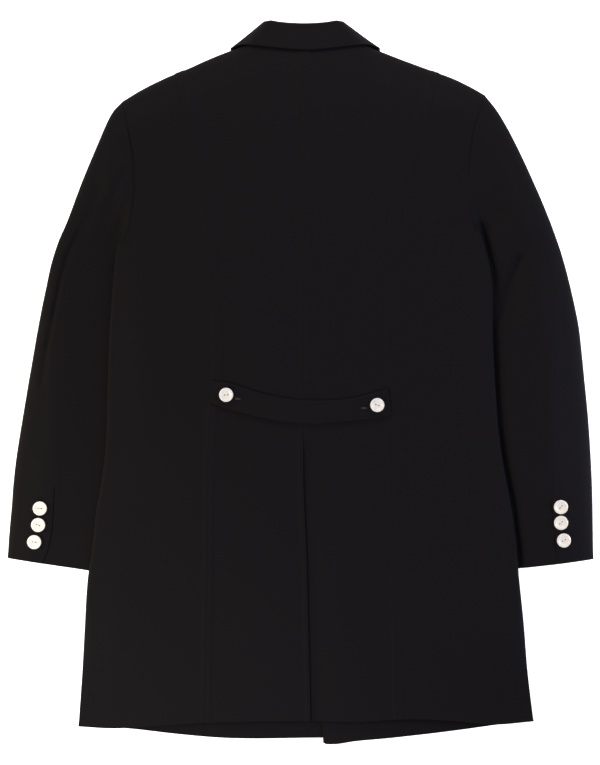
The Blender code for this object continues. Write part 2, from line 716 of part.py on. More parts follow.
def front_rows(side):
    top = shoulder_point(side).y
    middle = ((underarm(side).y + FRONT_SEAM_RISE, 1), (top - FRONT_SHOULDER_ROLL, 3))
    return panel_rows(side, middle, FRONT_SHOULDER_ROLL, FRONT_TOP_ROWS)


def front_grid(side, rows):
    """A front's outer face, from its outer edge to the closing edge, roll line and neckline."""
    hem_line = LEFT_FRONT_HEM if side == LEFT else RIGHT_FRONT_HEM
    hem_y = rows.heights[0]
    top_y = rows.heights[-1]
    neck = (LEFT_NECKLINE if side == LEFT else RIGHT_NECKLINE)[-1]
    heights = inner_heights(rows, FRONT_EDGE_HEM, neck.y - 1.0, FRONT_SHOULDER_ROLL, FRONT_TOP_ROWS)
    free = front_edge_x(side, heights)
    strip = free + side * FRONT_OVERLAP
    outer = outer_x(side, rows.heights)
    roll_width = side_roll_width(side, rows.heights, False)[:, None]
    width = np.abs(strip - outer)[:, None]
    step = roll_distances(roll_width, EDGE_COLUMNS)
    rest = np.linspace(0, 1, 6)[1:] ** 1.1
    share = np.concatenate([step, roll_width + (width - roll_width) * rest[None, :]], axis=1) / width
    x = outer[:, None] + share * (strip - outer)[:, None]
    y = rows.heights[:, None] + share * (heights - rows.heights)[:, None]
    strip_x = strip[:, None] + (free - strip)[:, None] * np.array([0.5, 1.0])[None, :]
    strip_y = np.repeat(heights[:, None], 2, axis=1)
    x = np.concatenate([x, strip_x], axis=1)
    y = np.concatenate([y, strip_y], axis=1)
    height_share = (rows.heights[:, None] - hem_y) / (top_y - hem_y)
    y[0] = across(hem_line, x[0])
    top_change = across(TOP_LINE, x[-1]) - y[-1]
    top_weight = height_share**4
    top_weight[-FRONT_TOP_ROWS - 1 :] = 1.0
    y = y + top_change[None, :] * top_weight
    side_distance = np.abs(x - outer[:, None])
    roll, _ = edge_shares(side, x, y, rows, side_distance, False)
    roll[: rows.underarm + 1, : EDGE_COLUMNS + 1] = np.sin(angles(EDGE_COLUMNS))[None, :]
    from_top = across(TOP_LINE, x) - y
    top_roll = quarter(from_top / FRONT_SHOULDER_ROLL)
    top_roll[-FRONT_TOP_ROWS - 1 :] = np.sin(angles(FRONT_TOP_ROWS))[::-1][:, None]
    shoulder = shoulder_share(x[-1], FRONT_NECK)
    roll = roll * (1 - shoulder[None, :] * (1 - top_roll))
    lift = front_lift(side, x, y)
    middle = np.maximum(edge_middle(side, x, y), lift) - SEAM
    z = lift + (middle - lift) * (1 - roll)
    return np.stack([x, y, z], axis=2), shoulder


def make_front(side, label):
    rows = front_rows(side)
    points, shoulder = front_grid(side, rows)
    wide = ghosted_panel(points, rows, shoulder, side)
    thick_wall(f"front_{label}", wide, side == LEFT, turn=side == LEFT)
    return points, rows


# ---- sleeves
def off_armhole(line, side):
    """Level unit directions away from the body along an armhole edge, square to it."""
    run = np.gradient(line[:, :2], axis=0)
    out = np.stack([-run[:, 1], run[:, 0], 0 * run[:, 0]], axis=1) * -side
    return out / np.linalg.norm(out, axis=1, keepdims=True)


def chord_shares(line):
    """Where the points of an armhole edge fall along its chord, and how far they stand off it."""
    chord = line[-1, :2] - line[0, :2]
    share = (line[:, :2] - line[0, :2]) @ chord / (chord @ chord)
    off = line[:, :2] - line[0, :2] - share[:, None] * chord
    return share, off


def sleeve_shares(length, inner_roll, outer_roll, counts, splits):
    """Fractions across a sleeve at which its columns run: rolls at both edges, splits between."""
    inner_count, outer_count = counts[0], counts[-1]
    low, high = inner_roll / length, 1 - outer_roll / length
    shares = list(roll_distances(inner_roll, inner_count) / length)
    for goal, count in zip(list(splits) + [high], counts[1:-1]):
        goal = min(max(goal, low + 0.02), high - 0.02) if goal != high else high
        start = shares[-1]
        shares += [start + (goal - start) * j / count for j in range(1, count + 1)]
    shares += list(1 - roll_distances(outer_roll, outer_count)[::-1][1:] / length)
    return np.array(shares)


def sleeve_loop(side, row, blend, top_edge, bottom_edge, folds):
    """One ring of a sleeve: over its top from the inner to the outer edge, and back along its underside."""
    inner = np.array([row.inner_x, row.inner_y], float)
    outer = np.array([row.outer_x, row.outer_y], float)
    length = float(np.hypot(*(outer - inner)))
    arm = underarm(side)
    lines = []
    specs = (
        (top_edge, (3, 5, 2, 4), (row.elbow,), row.crown - row.outer_z, True),
        (bottom_edge, (3, 1, 3, 3), (0.2,), row.outer_z, False),
    )
    for edge, counts, splits, rise, is_top in specs:
        outer_roll = min(OUTER_ROLL_UNDER, rise**2 / ROUNDNESS)
        if is_top:
            outer_roll = min(OUTER_ROLL_TOP, (QUICK_SHARE * rise) ** 2 / ROUNDNESS)
        shares = sleeve_shares(length, INNER_ROLL, outer_roll, counts, splits)
        natural, off = chord_shares(edge)
        shares = shares * blend + natural * (1 - blend)
        keep = max(0.0, 1 - 1.2 * blend) * smooth(shares / 0.2)[:, None]
        plan = inner + shares[:, None] * (outer - inner) + off * keep
        x, y = plan[:, 0], plan[:, 1]
        from_inner, from_outer = shares * length, (1 - shares) * length
        middle = row.inner_z + (row.outer_z - row.inner_z) * smooth(shares)
        out_of_body = side * (x - side_x(side, y))
        around_arm = np.hypot(x - arm.x, y - arm.y)
        outside = np.where(y <= arm.y, out_of_body, around_arm)
        top = TUCK_LOW + (row.crown - TUCK_LOW) * smooth((outside - 2.0) / CROWN_EASE)
        inner_part = quarter(from_inner / INNER_ROLL)
        outer_part = quarter(from_outer / outer_roll)
        if is_top:
            outer_part = QUICK_SHARE * outer_part + (1 - QUICK_SHARE) * smooth(from_outer / OUTER_EASE)
            z = middle + (np.maximum(top, middle + 0.5) - middle) * inner_part * outer_part
            z = z - fold_depth(folds, x, y)
        else:
            z = middle - middle * inner_part * outer_part
        z = z * blend + edge[:, 2] * (1 - blend)
        lines.append(np.stack([x, y, z], axis=1))
    top_line, bottom_line = lines
    return np.concatenate([top_line, bottom_line[-2:0:-1]])


def seam_widths(count):
    """The seam's gap along an armhole, wider at the underarm where the cloth turns sharply."""
    return SEAM * (1.0 + 1.5 * smooth(1.0 - np.arange(count) / 3.0))[:, None]


def sleeve_rings(side, back_points, back_rows_used, front_points, front_rows_used):
    table = LEFT_SLEEVE if side == LEFT else RIGHT_SLEEVE
    folds = LEFT_FOLDS if side == LEFT else RIGHT_FOLDS
    top_edge = back_points[back_rows_used.underarm :, 0].copy()
    bottom_edge = front_points[front_rows_used.underarm :, 0].copy()
    top_out, bottom_out = off_armhole(top_edge, side), off_armhole(bottom_edge, side)
    top_edge += seam_widths(len(top_edge)) * top_out
    bottom_edge += seam_widths(len(bottom_edge)) * bottom_out
    for end in (0, -1):
        middle = (top_edge[end] + bottom_edge[end]) / 2
        top_edge[end] = middle
        bottom_edge[end] = middle
    rings = [np.concatenate([top_edge, bottom_edge[-2:0:-1]])]
    away = np.concatenate([top_out, bottom_out[-2:0:-1]])
    keys = np.arange(len(table))
    at = np.concatenate([[0, 1, 2, 3], np.linspace(3, len(table) - 1, SLEEVE_ROWS)[1:]])
    fields = {name: through(keys, [getattr(row, name) for row in table], at) for name in SleeveRow._fields}
    for i in range(len(at)):
        row = SleeveRow(*(float(fields[name][i]) for name in SleeveRow._fields))
        blend = (0.4, 0.78, 1.0)[i] if i < 3 else 1.0
        rings.append(sleeve_loop(side, row, blend, top_edge, bottom_edge, folds))
    return np.array(rings), away


def sleeve_faces(rings, away, side):
    """Directions out of the cloth of a whole sleeve."""
    closed = np.concatenate([rings[:, -1:], rings, rings[:, :1]], axis=1)
    away = np.concatenate([away[-1:], away, away[:1]])
    before = closed[1] - GHOST_STEP * away
    after = 2 * closed[-1] - closed[-2]
    wide = np.concatenate([before[None], closed, after[None]])
    return face_directions(wide, side == RIGHT)


def piece_of_sleeve(name, rings, inner, columns, flip):
    """A piece of the tube between two of its columns, drawn back from its seams by half the gap."""
    outer_grid, inner_grid = rings[:, columns].copy(), inner[:, columns].copy()
    for grid in (outer_grid, inner_grid):
        for end, beside in ((0, 1), (-1, -2)):
            step = grid[:, beside] - grid[:, end]
            seam = np.gradient(grid[:, end], axis=0)
            seam = seam / np.linalg.norm(seam, axis=1, keepdims=True)
            square = step - seam * np.sum(step * seam, axis=1, keepdims=True)
            grid[:, end] += 0.7 * SEAM * step / np.linalg.norm(square, axis=1, keepdims=True)
    wall(name, outer_grid, inner_grid, flip)


def make_sleeve(side, label, rings, away):
    directions = sleeve_faces(rings, away, side)
    inner = rings - CLOTH * directions
    flip = side == RIGHT
    upper = list(range(ELBOW_COLUMN, FRONT_SEAM_COLUMN + 1))
    under = list(range(FRONT_SEAM_COLUMN, LOOP)) + list(range(ELBOW_COLUMN + 1))
    piece_of_sleeve(f"sleeve_upper_{label}", rings, inner, upper, flip)
    piece_of_sleeve(f"sleeve_under_{label}", rings, inner, under, flip)


def sleeve_height(rings, x, y):
    """Height and outward direction of a sleeve's top at a point, from the triangle of its grid over it."""
    top = rings[:, : TOP_COLUMNS + 1]
    best = None
    for r in range(top.shape[0] - 1):
        for c in range(top.shape[1] - 1):
            corners = top[r, c], top[r, c + 1], top[r + 1, c + 1], top[r + 1, c]
            for a, b, d in ((0, 1, 2), (0, 2, 3)):
                p, q, s = corners[a], corners[b], corners[d]
                matrix = np.array([[q[0] - p[0], s[0] - p[0]], [q[1] - p[1], s[1] - p[1]]])
                if abs(np.linalg.det(matrix)) < 1e-9:
                    continue
                u, v = np.linalg.solve(matrix, np.array([x - p[0], y - p[1]]))
                if u < -1e-6 or v < -1e-6 or u + v > 1 + 1e-6:
                    continue
                height = p[2] + u * (q[2] - p[2]) + v * (s[2] - p[2])
                if best is None or height > best[0]:
                    normal = np.cross(q - p, s - p)
                    best = height, normal * (1.0 if normal[2] > 0 else -1.0)
    return best[0], best[1] / np.linalg.norm(best[1])


# ---- collar and lapels
def collar_rows(side):
    """The half collar's rows on this side, the right half mirrored from the left."""
    rows = COLLAR
    if side == LEFT:
        return rows
    flipped = []
    for row in rows:
        flipped.append(
            row._replace(
                fold_x=2 * COLLAR_FOLD_CENTRE - row.fold_x,
                free_x=2 * COLLAR_FREE_CENTRE - row.free_x,
                neck_x=2 * COLLAR_FREE_CENTRE - row.neck_x,
            )
        )
    return flipped


def outward(row, side):
    """The direction that the collar's outer face looks in at a row."""
    run = np.array([row.free_x - row.fold_x, row.free_y - row.fold_y])
    run = run / np.linalg.norm(run)
    across_run = np.array([run[1], -run[0]]) * -side
    lean = math.radians(row.lean)
    return np.array([*(across_run * math.cos(lean)), math.sin(lean)])


def rolled_strip(fold, free, look, flat_count, roll_count=4):
    """A ghost point and then a row of points round a fold and flat to a free edge."""
    run = free - fold - look * ((free - fold) @ look)
    run = run / np.linalg.norm(run)
    row = []
    step = math.pi / roll_count
    for angle in np.arange(-math.pi / 2 - step, math.pi / 2 + step / 2, step):
        row.append(fold + ROLL_RADIUS * (math.sin(angle) * look - math.cos(angle) * run))
    start = row[-1]
    for j in range(1, flat_count + 1):
        row.append(start + (free - start) * j / flat_count)
    return row


def make_collar():
    fall, stand = [], []
    order = [(RIGHT, row) for row in reversed(collar_rows(RIGHT))]
    order += [(LEFT, row) for row in collar_rows(LEFT)[1:]]
    for side, row in order:
        fold = np.array([row.fold_x, row.fold_y, row.fold_z], float)
        free = np.array([row.free_x, row.free_y, row.free_z], float)
        neck_x, neck_y = row.neck_x, row.neck_y
        if row.lean >= 45:
            neck_y = float(across(TOP_LINE, neck_x)) + 1.5 * SEAM
        elif row.lean <= -80:
            neck_x = float(front_neck_x(side, neck_y)) - side * NECK_CLEAR
        neck = np.array([neck_x, neck_y, row.neck_z], float)
        look = outward(row, side)
        fall.append(rolled_strip(fold, free, look, 3))
        run = free - fold - look * ((free - fold) @ look)
        run = run / np.linalg.norm(run)
        top = fold + look * (ROLL_RADIUS - LAYER) + run * 3 * SEAM
        stand.append([top, (top + neck) / 2, neck])
    fall = np.array(fall)
    stand = np.array(stand)
    thick_wall("collar_fall", with_ghosts(fall[:, 1:], first_column=fall[:, 0]), flip=True)
    thick_wall("collar_stand", with_ghosts(stand[1:-1]), flip=True)


def make_lapel(side, label):
    rows = LAPEL if side == LEFT else LAPEL[RIGHT_LAPEL_START:]
    points = []
    for row in rows:
        fold_x, edge_x = row.fold_x + 2 * SEAM, row.edge_x
        lift_at = [0.0, 0.0]
        if side == RIGHT:
            fold_x = float(along(RIGHT_ROLL, row.fold_y)) - 2 * SEAM
            edge_x = 2 * LAPEL_CENTRE - edge_x
            lift_at = [float(over_left_front(p, row.fold_y)) for p in (fold_x, edge_x)]
        fold = np.array([fold_x, row.fold_y, ROLL_RADIUS + lift_at[0]], float)
        free = np.array([edge_x, row.edge_y, lift_at[1]], float)
        points.append(rolled_strip(fold, free, np.array([0.0, 0.0, -1.0]), 3, 3))
    points = np.array(points)
    thick_wall(f"lapel_{label}", with_ghosts(points[:, 1:], first_column=points[:, 0]), flip=side == RIGHT)


# ---- half belt and buttons
def make_belt():
    share = np.linspace(0, 1, BELT_COLUMNS + 1)
    rows = []
    for at in (0.0, 0.5, 1.0):
        left = (1 - at) * BELT_TOP[0].x + at * BELT_BOTTOM[0].x
        right = (1 - at) * BELT_TOP[-1].x + at * BELT_BOTTOM[-1].x
        x = left + share * (right - left)
        y = (1 - at) * across(BELT_TOP, x) + at * across(BELT_BOTTOM, x)
        rows.append(np.stack([x, y, back_height(x, y) + 2 * SEAM + BELT_THICKNESS], axis=1))
    grid = np.array(rows)
    thick_wall("half_belt", with_ghosts(grid), flip=True, thickness=BELT_THICKNESS)


def make_button(name, centre, axis):
    """A turned button with a raised rim round a dished middle."""
    profile = [
        (0.0, 0.0),
        (6.8, 0.0),
        (8.9, 0.7),
        (BUTTON_RADIUS, 1.7),
        (8.9, BUTTON_HEIGHT),
        (7.2, 2.9),
        (5.6, 2.1),
        (0.0, 2.1),
    ]
    axis = axis / np.linalg.norm(axis)
    first = np.cross(axis, (0.0, 1.0, 0.0))
    first = first / np.linalg.norm(first)
    second = np.cross(axis, first)
    points = [centre + axis * profile[0][1]]
    for radius, height in profile[1:-1]:
        for k in range(BUTTON_SIDES):
            turn = 2 * math.pi * k / BUTTON_SIDES
            spoke = math.cos(turn) * first + math.sin(turn) * second
            points.append(centre + axis * height + spoke * radius)
    points.append(centre + axis * profile[-1][1])
    last = len(points) - 1
    faces = []
    for k in range(BUTTON_SIDES):
        after = (k + 1) % BUTTON_SIDES
        faces.append((0, 1 + after, 1 + k))
        for ring in range(len(profile) - 3):
            a, b = 1 + ring * BUTTON_SIDES, 1 + (ring + 1) * BUTTON_SIDES
            faces.append((a + k, a + after, b + after))
            faces.append((a + k, b + after, b + k))
        top = 1 + (len(profile) - 3) * BUTTON_SIDES
        faces.append((top + k, top + after, last))
    mesh = bpy.data.meshes.new(name)
    mesh.from_pydata([tuple(float(v) * METRES for v in p) for p in points], [], faces)
    mesh.update()
    piece = bpy.data.objects.new(name, mesh)
    bpy.context.scene.collection.objects.link(piece)
    mesh.materials.append(cloth_material("white button", BUTTON_WHITE, 0.35))
    mesh.shade_smooth()
    mesh.set_sharp_from_angle(angle=math.radians(50))
    return piece


def make_buttons(rings_by_side):
    for spot, label in zip(BELT_BUTTONS, ("left", "right")):
        height = back_height(spot.x, spot.y) + BELT_THICKNESS + 3 * SEAM
        centre = np.array([spot.x, spot.y, float(height)])
        make_button(f"belt_button_{label}", centre, np.array([0.0, 0.0, 1.0]))
    for side, label, spots in ((LEFT, "left", LEFT_CUFF_BUTTONS), (RIGHT, "right", RIGHT_CUFF_BUTTONS)):
        for number, spot in enumerate(spots, 1):
            height, normal = sleeve_height(rings_by_side[side], spot.x, spot.y)
            centre = np.array([spot.x, spot.y, height]) + normal * (SEAM + CUFF_BUTTON_CLEAR)
            make_button(f"cuff_button_{label}_{number}", centre, normal)
    for number, spot in enumerate(FRONT_BUTTONS, 1):
        centre = np.array([spot.x, spot.y, BUTTON_HEIGHT])
        make_button(f"front_button_{number}", centre, np.array([0.0, 0.0, -1.0]))


def main():
    for old in list(bpy.data.objects):
        bpy.data.objects.remove(old, do_unlink=True)
    rings_by_side = {}
    for side, label in ((LEFT, "left"), (RIGHT, "right")):
        back_points, rows_back = make_back(side, label)
        front_points, rows_front = make_front(side, label)
        rings, away = sleeve_rings(side, back_points, rows_back, front_points, rows_front)
        make_sleeve(side, label, rings, away)
        make_lapel(side, label)
        rings_by_side[side] = rings
    make_collar()
    make_belt()
    make_buttons(rings_by_side)


main()
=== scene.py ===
# %% [markdown]
# # A long tailored blazer, laid flat and seen from its back
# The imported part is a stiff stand-in: plain walls in the right places. This lesson loads it and dresses it.
# Each panel is worked out again on a much finer grid, so that seams, hems, folds and stitching can be real
# relief, and then gets a procedural wool or button material.

import math
from collections import namedtuple

import bpy
import numpy as np
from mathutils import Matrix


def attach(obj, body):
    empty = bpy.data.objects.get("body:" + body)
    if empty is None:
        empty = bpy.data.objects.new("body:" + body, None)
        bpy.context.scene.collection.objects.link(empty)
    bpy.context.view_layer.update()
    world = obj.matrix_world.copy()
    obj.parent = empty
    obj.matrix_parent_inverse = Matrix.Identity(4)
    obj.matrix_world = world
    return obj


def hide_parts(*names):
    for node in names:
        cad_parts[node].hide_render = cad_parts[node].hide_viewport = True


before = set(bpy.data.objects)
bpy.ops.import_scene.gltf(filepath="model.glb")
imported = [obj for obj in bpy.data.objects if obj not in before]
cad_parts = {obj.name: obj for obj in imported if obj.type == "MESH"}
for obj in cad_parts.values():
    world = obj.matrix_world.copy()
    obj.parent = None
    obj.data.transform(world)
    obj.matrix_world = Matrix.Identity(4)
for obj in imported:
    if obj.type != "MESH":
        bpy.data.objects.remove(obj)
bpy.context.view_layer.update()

# %% [markdown]
# ## Sizes
# Lengths are in millimetres. X runs across the garment, Y from hem to collar and Z up from the floor, and the
# wearer's left is at -X. FINE says how many times finer than the CAD grid each grid is.

# %% Sizes of the cloth and of the shape it lies in
METRES = 0.001
FINE = 6
CLOTH = 2.0  # thickness of a panel with its interfacing
SEAM = 0.3  # space between two pieces at a seam
GHOST_STEP = 20.0  # level step that sets the direction of a wall's edge at an armhole
LAYER = 3.0  # height of one layer of cloth and the air over it, where pieces lie on each other
BACK_TOP = 17.0  # height of the back's outer face
HEM_TOP = 8.5  # its height at the hem, where nothing fills the garment out
HEM_FALL = 130.0  # length over which it comes down to that
PAD_RISE = 3.0  # what a shoulder pad adds
PAD_RADIUS = 75.0
EDGE_MIDDLE = 8.0  # height of the side and shoulder edges, where front and back meet
EDGE_EASE = 45.0  # width over which the back rounds off towards an edge
TUCK = 7.3  # height to which a sleeve lifts the side of the body that lies on it
TUCK_MARGIN = 14.0
TUCK_FADE = 75.0
EDGE_RISE = 0.45  # share of that lift which an edge of the body takes up
NECK_CENTRE = 6.0
NECK_FADE = 22.0  # width over which the open neck's edge turns into a rounded shoulder
FRONT_SIDE_ROLL = 12.0
QUICK_SHARE = 0.62  # share of a rise that a rounded edge takes, the rest comes gently
ROUNDNESS = 2.3  # a rounded edge is as wide as its rise squared over this
ROLL_RADIUS = 2.5  # outer radius of the collar's and lapels' folds
BUTTON_RADIUS = 9.0
BUTTON_HEIGHT = 3.0
CUFF_BUTTON_CLEAR = 0.5  # added under the cuff buttons, which sit across a curved sleeve
VENT_TOP = -101.0
VENT_UNDERLAP = 38.0
VENT_DROP = 2.6  # how far the underlap lies below the panel over it
VENT_SLOPE = 40.0
UNDERLAP_SLOPE = 14.0  # height of the underlap's slanted top end
VENT_BESIDE = 2.0  # width beside the vent at which the lower panel is fully down
VENT_FADE = 40.0  # and over which it comes up again
LEAST_LAP = 0.03  # share of the underlap's width that is left at its pointed top
ROW_GROWTH = 1.25  # how the rows of an armhole spread out
FRONT_OVERLAP = 40.0  # width over which the closed fronts lie on each other
TURNBACK_MARGIN = 8.0
TURNBACK_EASE = 60.0  # width over which cloth comes down beside what lies under it
BUTTON_MARGIN = 22.0
BUTTON_EASE = 90.0
BUTTON_STRETCH = 0.8  # the bulge over a hidden button is longer than wide by one over this
OVERLAP_MARGIN = 12.0
OVERLAP_TOP = 262.0  # Y over which the fronts no longer lie on each other
OVERLAP_FADE = 45.0
FRONT_NECK_DROP = 1.0  # how far a front's free edge ends below its neckline
BACK_LEAN = 45.0  # rows of the collar that lean more than this sit on the back, degrees
FRONT_LEAN = -80.0  # and those that lean less than this lie along the fronts
UNDERARM_ROLL = 4.9  # height that the close rows over the underarm take up
INNER_ROLL = 4.0  # width of a sleeve's inner fold
OUTER_ROLL_TOP = 18.0  # largest width of its outer fold, over it and under it
OUTER_ROLL_UNDER = 14.0
OUTER_EASE = 50.0
LEAST_CROWN = 0.5  # least height of a sleeve's top over the middle of its edge
LEAST_ROOM = 0.01  # least height that is taken to be free between a sleeve's top and underside
LEFT, RIGHT = -1, 1
LABELS = {LEFT: "left", RIGHT: "right"}
# How a sleeve comes up from under the body: its height there, how far out the rise starts and over what
# width it goes on, and what share of it is a steep wall of what width.
Emerging = namedtuple("Emerging", "low start width wall wall_width")
EMERGING = {LEFT: Emerging(6.2, 1.0, 85.0, 0.0, 10.0), RIGHT: Emerging(3.2, 5.0, 60.0, 0.5, 15.0)}
RIM_ANGLE = 50.0  # edges sharper than this, in degrees, are not shaded smooth
DOWN = np.array([0.0, 0.0, -1.0])
TINY = 1e-12  # keeps a level edge from dividing by zero
print("cloth:", CLOTH, "mm thick, its back", BACK_TOP, "mm over the floor")

# %% [markdown]
# ## What is sewn, pressed and creased
# These heights lie over the plain shape. The long waves are the drift of pressed cloth, and each crease is a
# short line with a height and a width. Negative heights are troughs.

# %% Sizes of the sewn detail
SEAM_GROOVE = 0.3  # depth of a stitched seam
GROOVE_WIDTH = 1.2
ALLOWANCE = 6.0  # width of the cloth pressed open inside a seam
ALLOWANCE_SOFT = 4.0  # width over which its edge shows through
ALLOWANCE_RISE = 0.8  # and how far it lifts the cloth
SLEEVE_SEAM_SHARE = 0.45  # share of that relief on a sleeve's pressed seams
ARMHOLE_GROOVE = {LEFT: 1.3, RIGHT: 0.1}  # depth of the seam between a sleeve and the back
ARMHOLE_WIDTH = 1.5
ARMHOLE_FADE = 12.0
HEM_STITCH = 6.5  # width of the thicker edge at a hem
HEM_SOFT = 2.0
HEM_RISE = {"body": 0.5, "cuff": 0.25}
STITCH_DEPTH = 0.4
CUFF_STITCH = -3.9  # place of the stitch line beside a cuff's vent
CUFF_VENT_TOP = -136.0
VENT_EDGE = {LEFT: 1.5, RIGHT: 0.8}  # depth of the line where a cuff's vent is closed
VENT_EDGE_WIDTH = 0.9
CUFF_VENT_FADE = 4.0
BELT_LINE = 6.0  # the line pressed in under the belt's top edge
BELT_LINE_DEPTH = 0.45
BELT_ROUND = 0.3  # height over which the belt's lower edge and ends are rounded
BELT_ROUND_WIDTH = 0.9
BELT_PRESSED = 1.3  # and its upper edge, which is pressed down
BELT_PRESSED_WIDTH = 4.0
Wave = namedtuple("Wave", "heading length height phase")
Crease = namedtuple("Crease", "start_x start_y end_x end_y height width")
DRIFT = [
    Wave(62, 310, 0.45, 0.4),
    Wave(-35, 190, 0.3, 2.1),
    Wave(14, 120, 0.15, 4.0),
]
BACK_CREASES = [
    Crease(-215, 150, -190, -60, 1.2, 26),
    Crease(212, 140, 196, -40, 1.0, 24),
]
SLEEVE_CREASES = {
    LEFT: [
        Crease(-232, 280, -262, 225, 2.4, 8),
        Crease(-222, 258, -238, 205, 1.6, 6),
        Crease(-254, 250, -276, 205, -2.4, 6),
        Crease(-271, 218, -286, 193, -2.4, 3.5),
        Crease(-286, 193, -299, 167, -3.2, 3.2),
        Crease(-299, 167, -310, 128, -3.6, 3.2),
        Crease(-310, 128, -319, 84, -3.4, 3.2),
        Crease(-319, 84, -326, 46, -2.6, 3.5),
        Crease(-326, 46, -333, 0, -1.4, 4),
    ],
    RIGHT: [
        Crease(268, 255, 262, 180, 1.0, 12),
        Crease(281, 160, 252, 92, -3.6, 5),
    ],
}
SLEEVE_FOLDS = {  # deep folds, each added to the rest
    LEFT: [Crease(-250, 240, -232, 205, -2.5, 9), Crease(-228, 226, -238, 186, -2.0, 8)],
    RIGHT: [Crease(288, 178, 258, 92, -4.0, 16)],
}
print("creases on the sleeves:", {LABELS[side]: len(rows) for side, rows in SLEEVE_CREASES.items()})

# %% [markdown]
# ## How fine each grid is
# Counts of rows and columns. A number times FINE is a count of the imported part, made finer. Columns crowd
# beside the seams, where the relief is narrow.

# %% Counts of faces
# A panel's upper part: the width of its rounded shoulder edge, the rows in that, half the open neck's width,
# and the rows from the underarm to the sleeve's seam and from there up to the rounded edge.
Panel = namedtuple("Panel", "roll rows neck seam_rows upper_rows")
BACK = Panel(13.0, 4 * FINE, 68.0, 5 * FINE, 2 * FINE)
FRONT = Panel(11.0, 3 * FINE, 76.0, FINE, 3 * FINE)
BELT_COLUMNS = 160
BELT_ROWS = 60
END_CLUSTER = 0.8  # how closely the belt's columns crowd towards its ends
LOWER_ROWS = 14 * FINE  # rows of a panel up to the underarm
VENT_ROW = 8 * FINE
SLOPE_ROWS = FINE
LAP_COLUMNS = 12
UNDERARM_ROWS = 3 * FINE
EDGE_COLUMNS = 4 * FINE
FRONT_COLUMNS = 5 * FINE
STRIP_COLUMNS = 2 * FINE  # over the strip at a front's free edge
FRONT_CLUSTER = 1.1  # how closely a front's columns crowd towards its side
NEAR_SEAM = (0.0, 0.4, 0.9, 1.5, 2.3, 3.3, 4.4, 5.2, 5.9, 6.6, 7.4, 8.6, 10.5)  # columns beside a seam, mm
MIDDLE_COLUMNS = 40  # across a back panel between the close ones beside its seams
FOLD_COUNT = 4 * FINE  # steps round the fold of a lapel or the collar, and on to its free edge
FLAT_COUNT = 3 * FINE
STAND_COLUMNS = 2 * FINE
SLEEVE_ROWS = 16
LEAVING = (0.4, 0.78, 1.0)  # how far the first rings of a sleeve have left the armhole's shape
RINGS = SLEEVE_ROWS + 1 + len(LEAVING)
RING_FINE = 10
RING_CLUSTER = 2.0  # how closely a sleeve's rings crowd towards the armhole
# Columns in a ring's inner fold, from there to the seam, beyond it and in the outer fold.
TOP_COUNTS = (3 * FINE, 5 * FINE, 2 * FINE, 4 * FINE)
UNDER_COUNTS = (3 * FINE, FINE, 3 * FINE, 3 * FINE)
TOP_COLUMNS = sum(TOP_COUNTS)
ELBOW_COLUMN = sum(TOP_COUNTS[:2])
LOOP = TOP_COLUMNS + sum(UNDER_COUNTS)
FRONT_SEAM_COLUMN = LOOP - sum(UNDER_COUNTS[:2])
STAND_OFF_FADE = 1.2  # how fast a ring's edge leaves the armhole's curve
STAND_OFF_SHARE = 0.2
print("points around a sleeve:", LOOP)

# %% [markdown]
# ## Outlines
# Short tables with named columns hold the places that the eye checks first: the sides, seams, hems and
# armholes. A smooth curve runs through each table's rows.

# %% Tables of the outline and the seams
Edge = namedtuple("Edge", "y left right")
Seams = namedtuple("Seams", "y left centre right")
Point = namedtuple("Point", "x y")
SleeveRow = namedtuple("SleeveRow", "outer_x outer_y inner_x inner_y elbow inner_z outer_z crown")
CollarRow = namedtuple("CollarRow", "fold_x fold_y fold_z free_x free_y free_z neck_x neck_y neck_z lean")
LapelRow = namedtuple("LapelRow", "fold_x fold_y edge_x edge_y")


def line(*places):
    """A line of points from pairs of X and Y."""
    return [Point(*place) for place in places]


SIDES = [
    Edge(-445, -285, 300.5),
    Edge(-363, -280, 291.5),
    Edge(-317, -277.5, 288),
    Edge(-250, -273, 281),
    Edge(-204, -267, 277),
    Edge(-157, -261, 270.5),
    Edge(-115, -253.5, 262.5),
    Edge(-74, -249.5, 256),
    Edge(-10, -248, 250.5),
    Edge(72, -245, 247),
    Edge(136, -239.5, 246),
    Edge(180, -235, 236),
    Edge(210, -232, 225.9),
]
SEAM_TOP_Y = {"left": 400.0, "centre": 437.0, "right": 400.0}  # near where each seam meets the top line
SEAM_HEM_Y = -437.0
SEAM_LINES = [
    Seams(-450, -122, 13.5, 126.5),
    Seams(-345, -120.5, 11, 124.5),
    Seams(-230, -118, 8, 122),
    Seams(-101, -116.5, 3.5, 117),
    Seams(-50, -114, 4, 113.5),
    Seams(30, -106, 4.5, 113.5),
    Seams(124, -111, 6, 120),
    Seams(217, -121, 7, 129.5),
    Seams(302, -134, 7, 146.5),
    Seams(388, -153, 6, 170),
    Seams(440, -164, 5, 184),
]
TOP_LINE = line(
    (-229, 362), (-206, 376), (-175, 391.5), (-144.5, 404), (-113.5, 418), (-88, 428), (-70, 434),
    (-48, 437), (5, 436.5), (60, 437), (82, 434), (99, 427.5), (119, 420), (165, 403), (196, 391.5),
    (227, 375.5), (238, 369),
)
BACK_HEM = line(
    (-286, -441.5), (-238, -444), (-190, -441), (-129, -437), (-60, -435), (13, -434.6), (71, -436),
    (140, -432), (205, -435), (246, -439), (300, -435),
)
FRONT_EDGE_HEM = -452.0  # height of the lowest row at a front's free edge, before it takes up the hem line
FRONT_HEM = {
    LEFT: line((-286, -441.5), (-222, -445), (-160, -452), (-110, -456.5), (28, -457), (75, -457)),
    RIGHT: line(
        (25, -459), (32, -464.5), (41, -465), (72, -461), (119, -457), (165, -452), (212, -446),
        (255, -440), (300, -435),
    ),
}
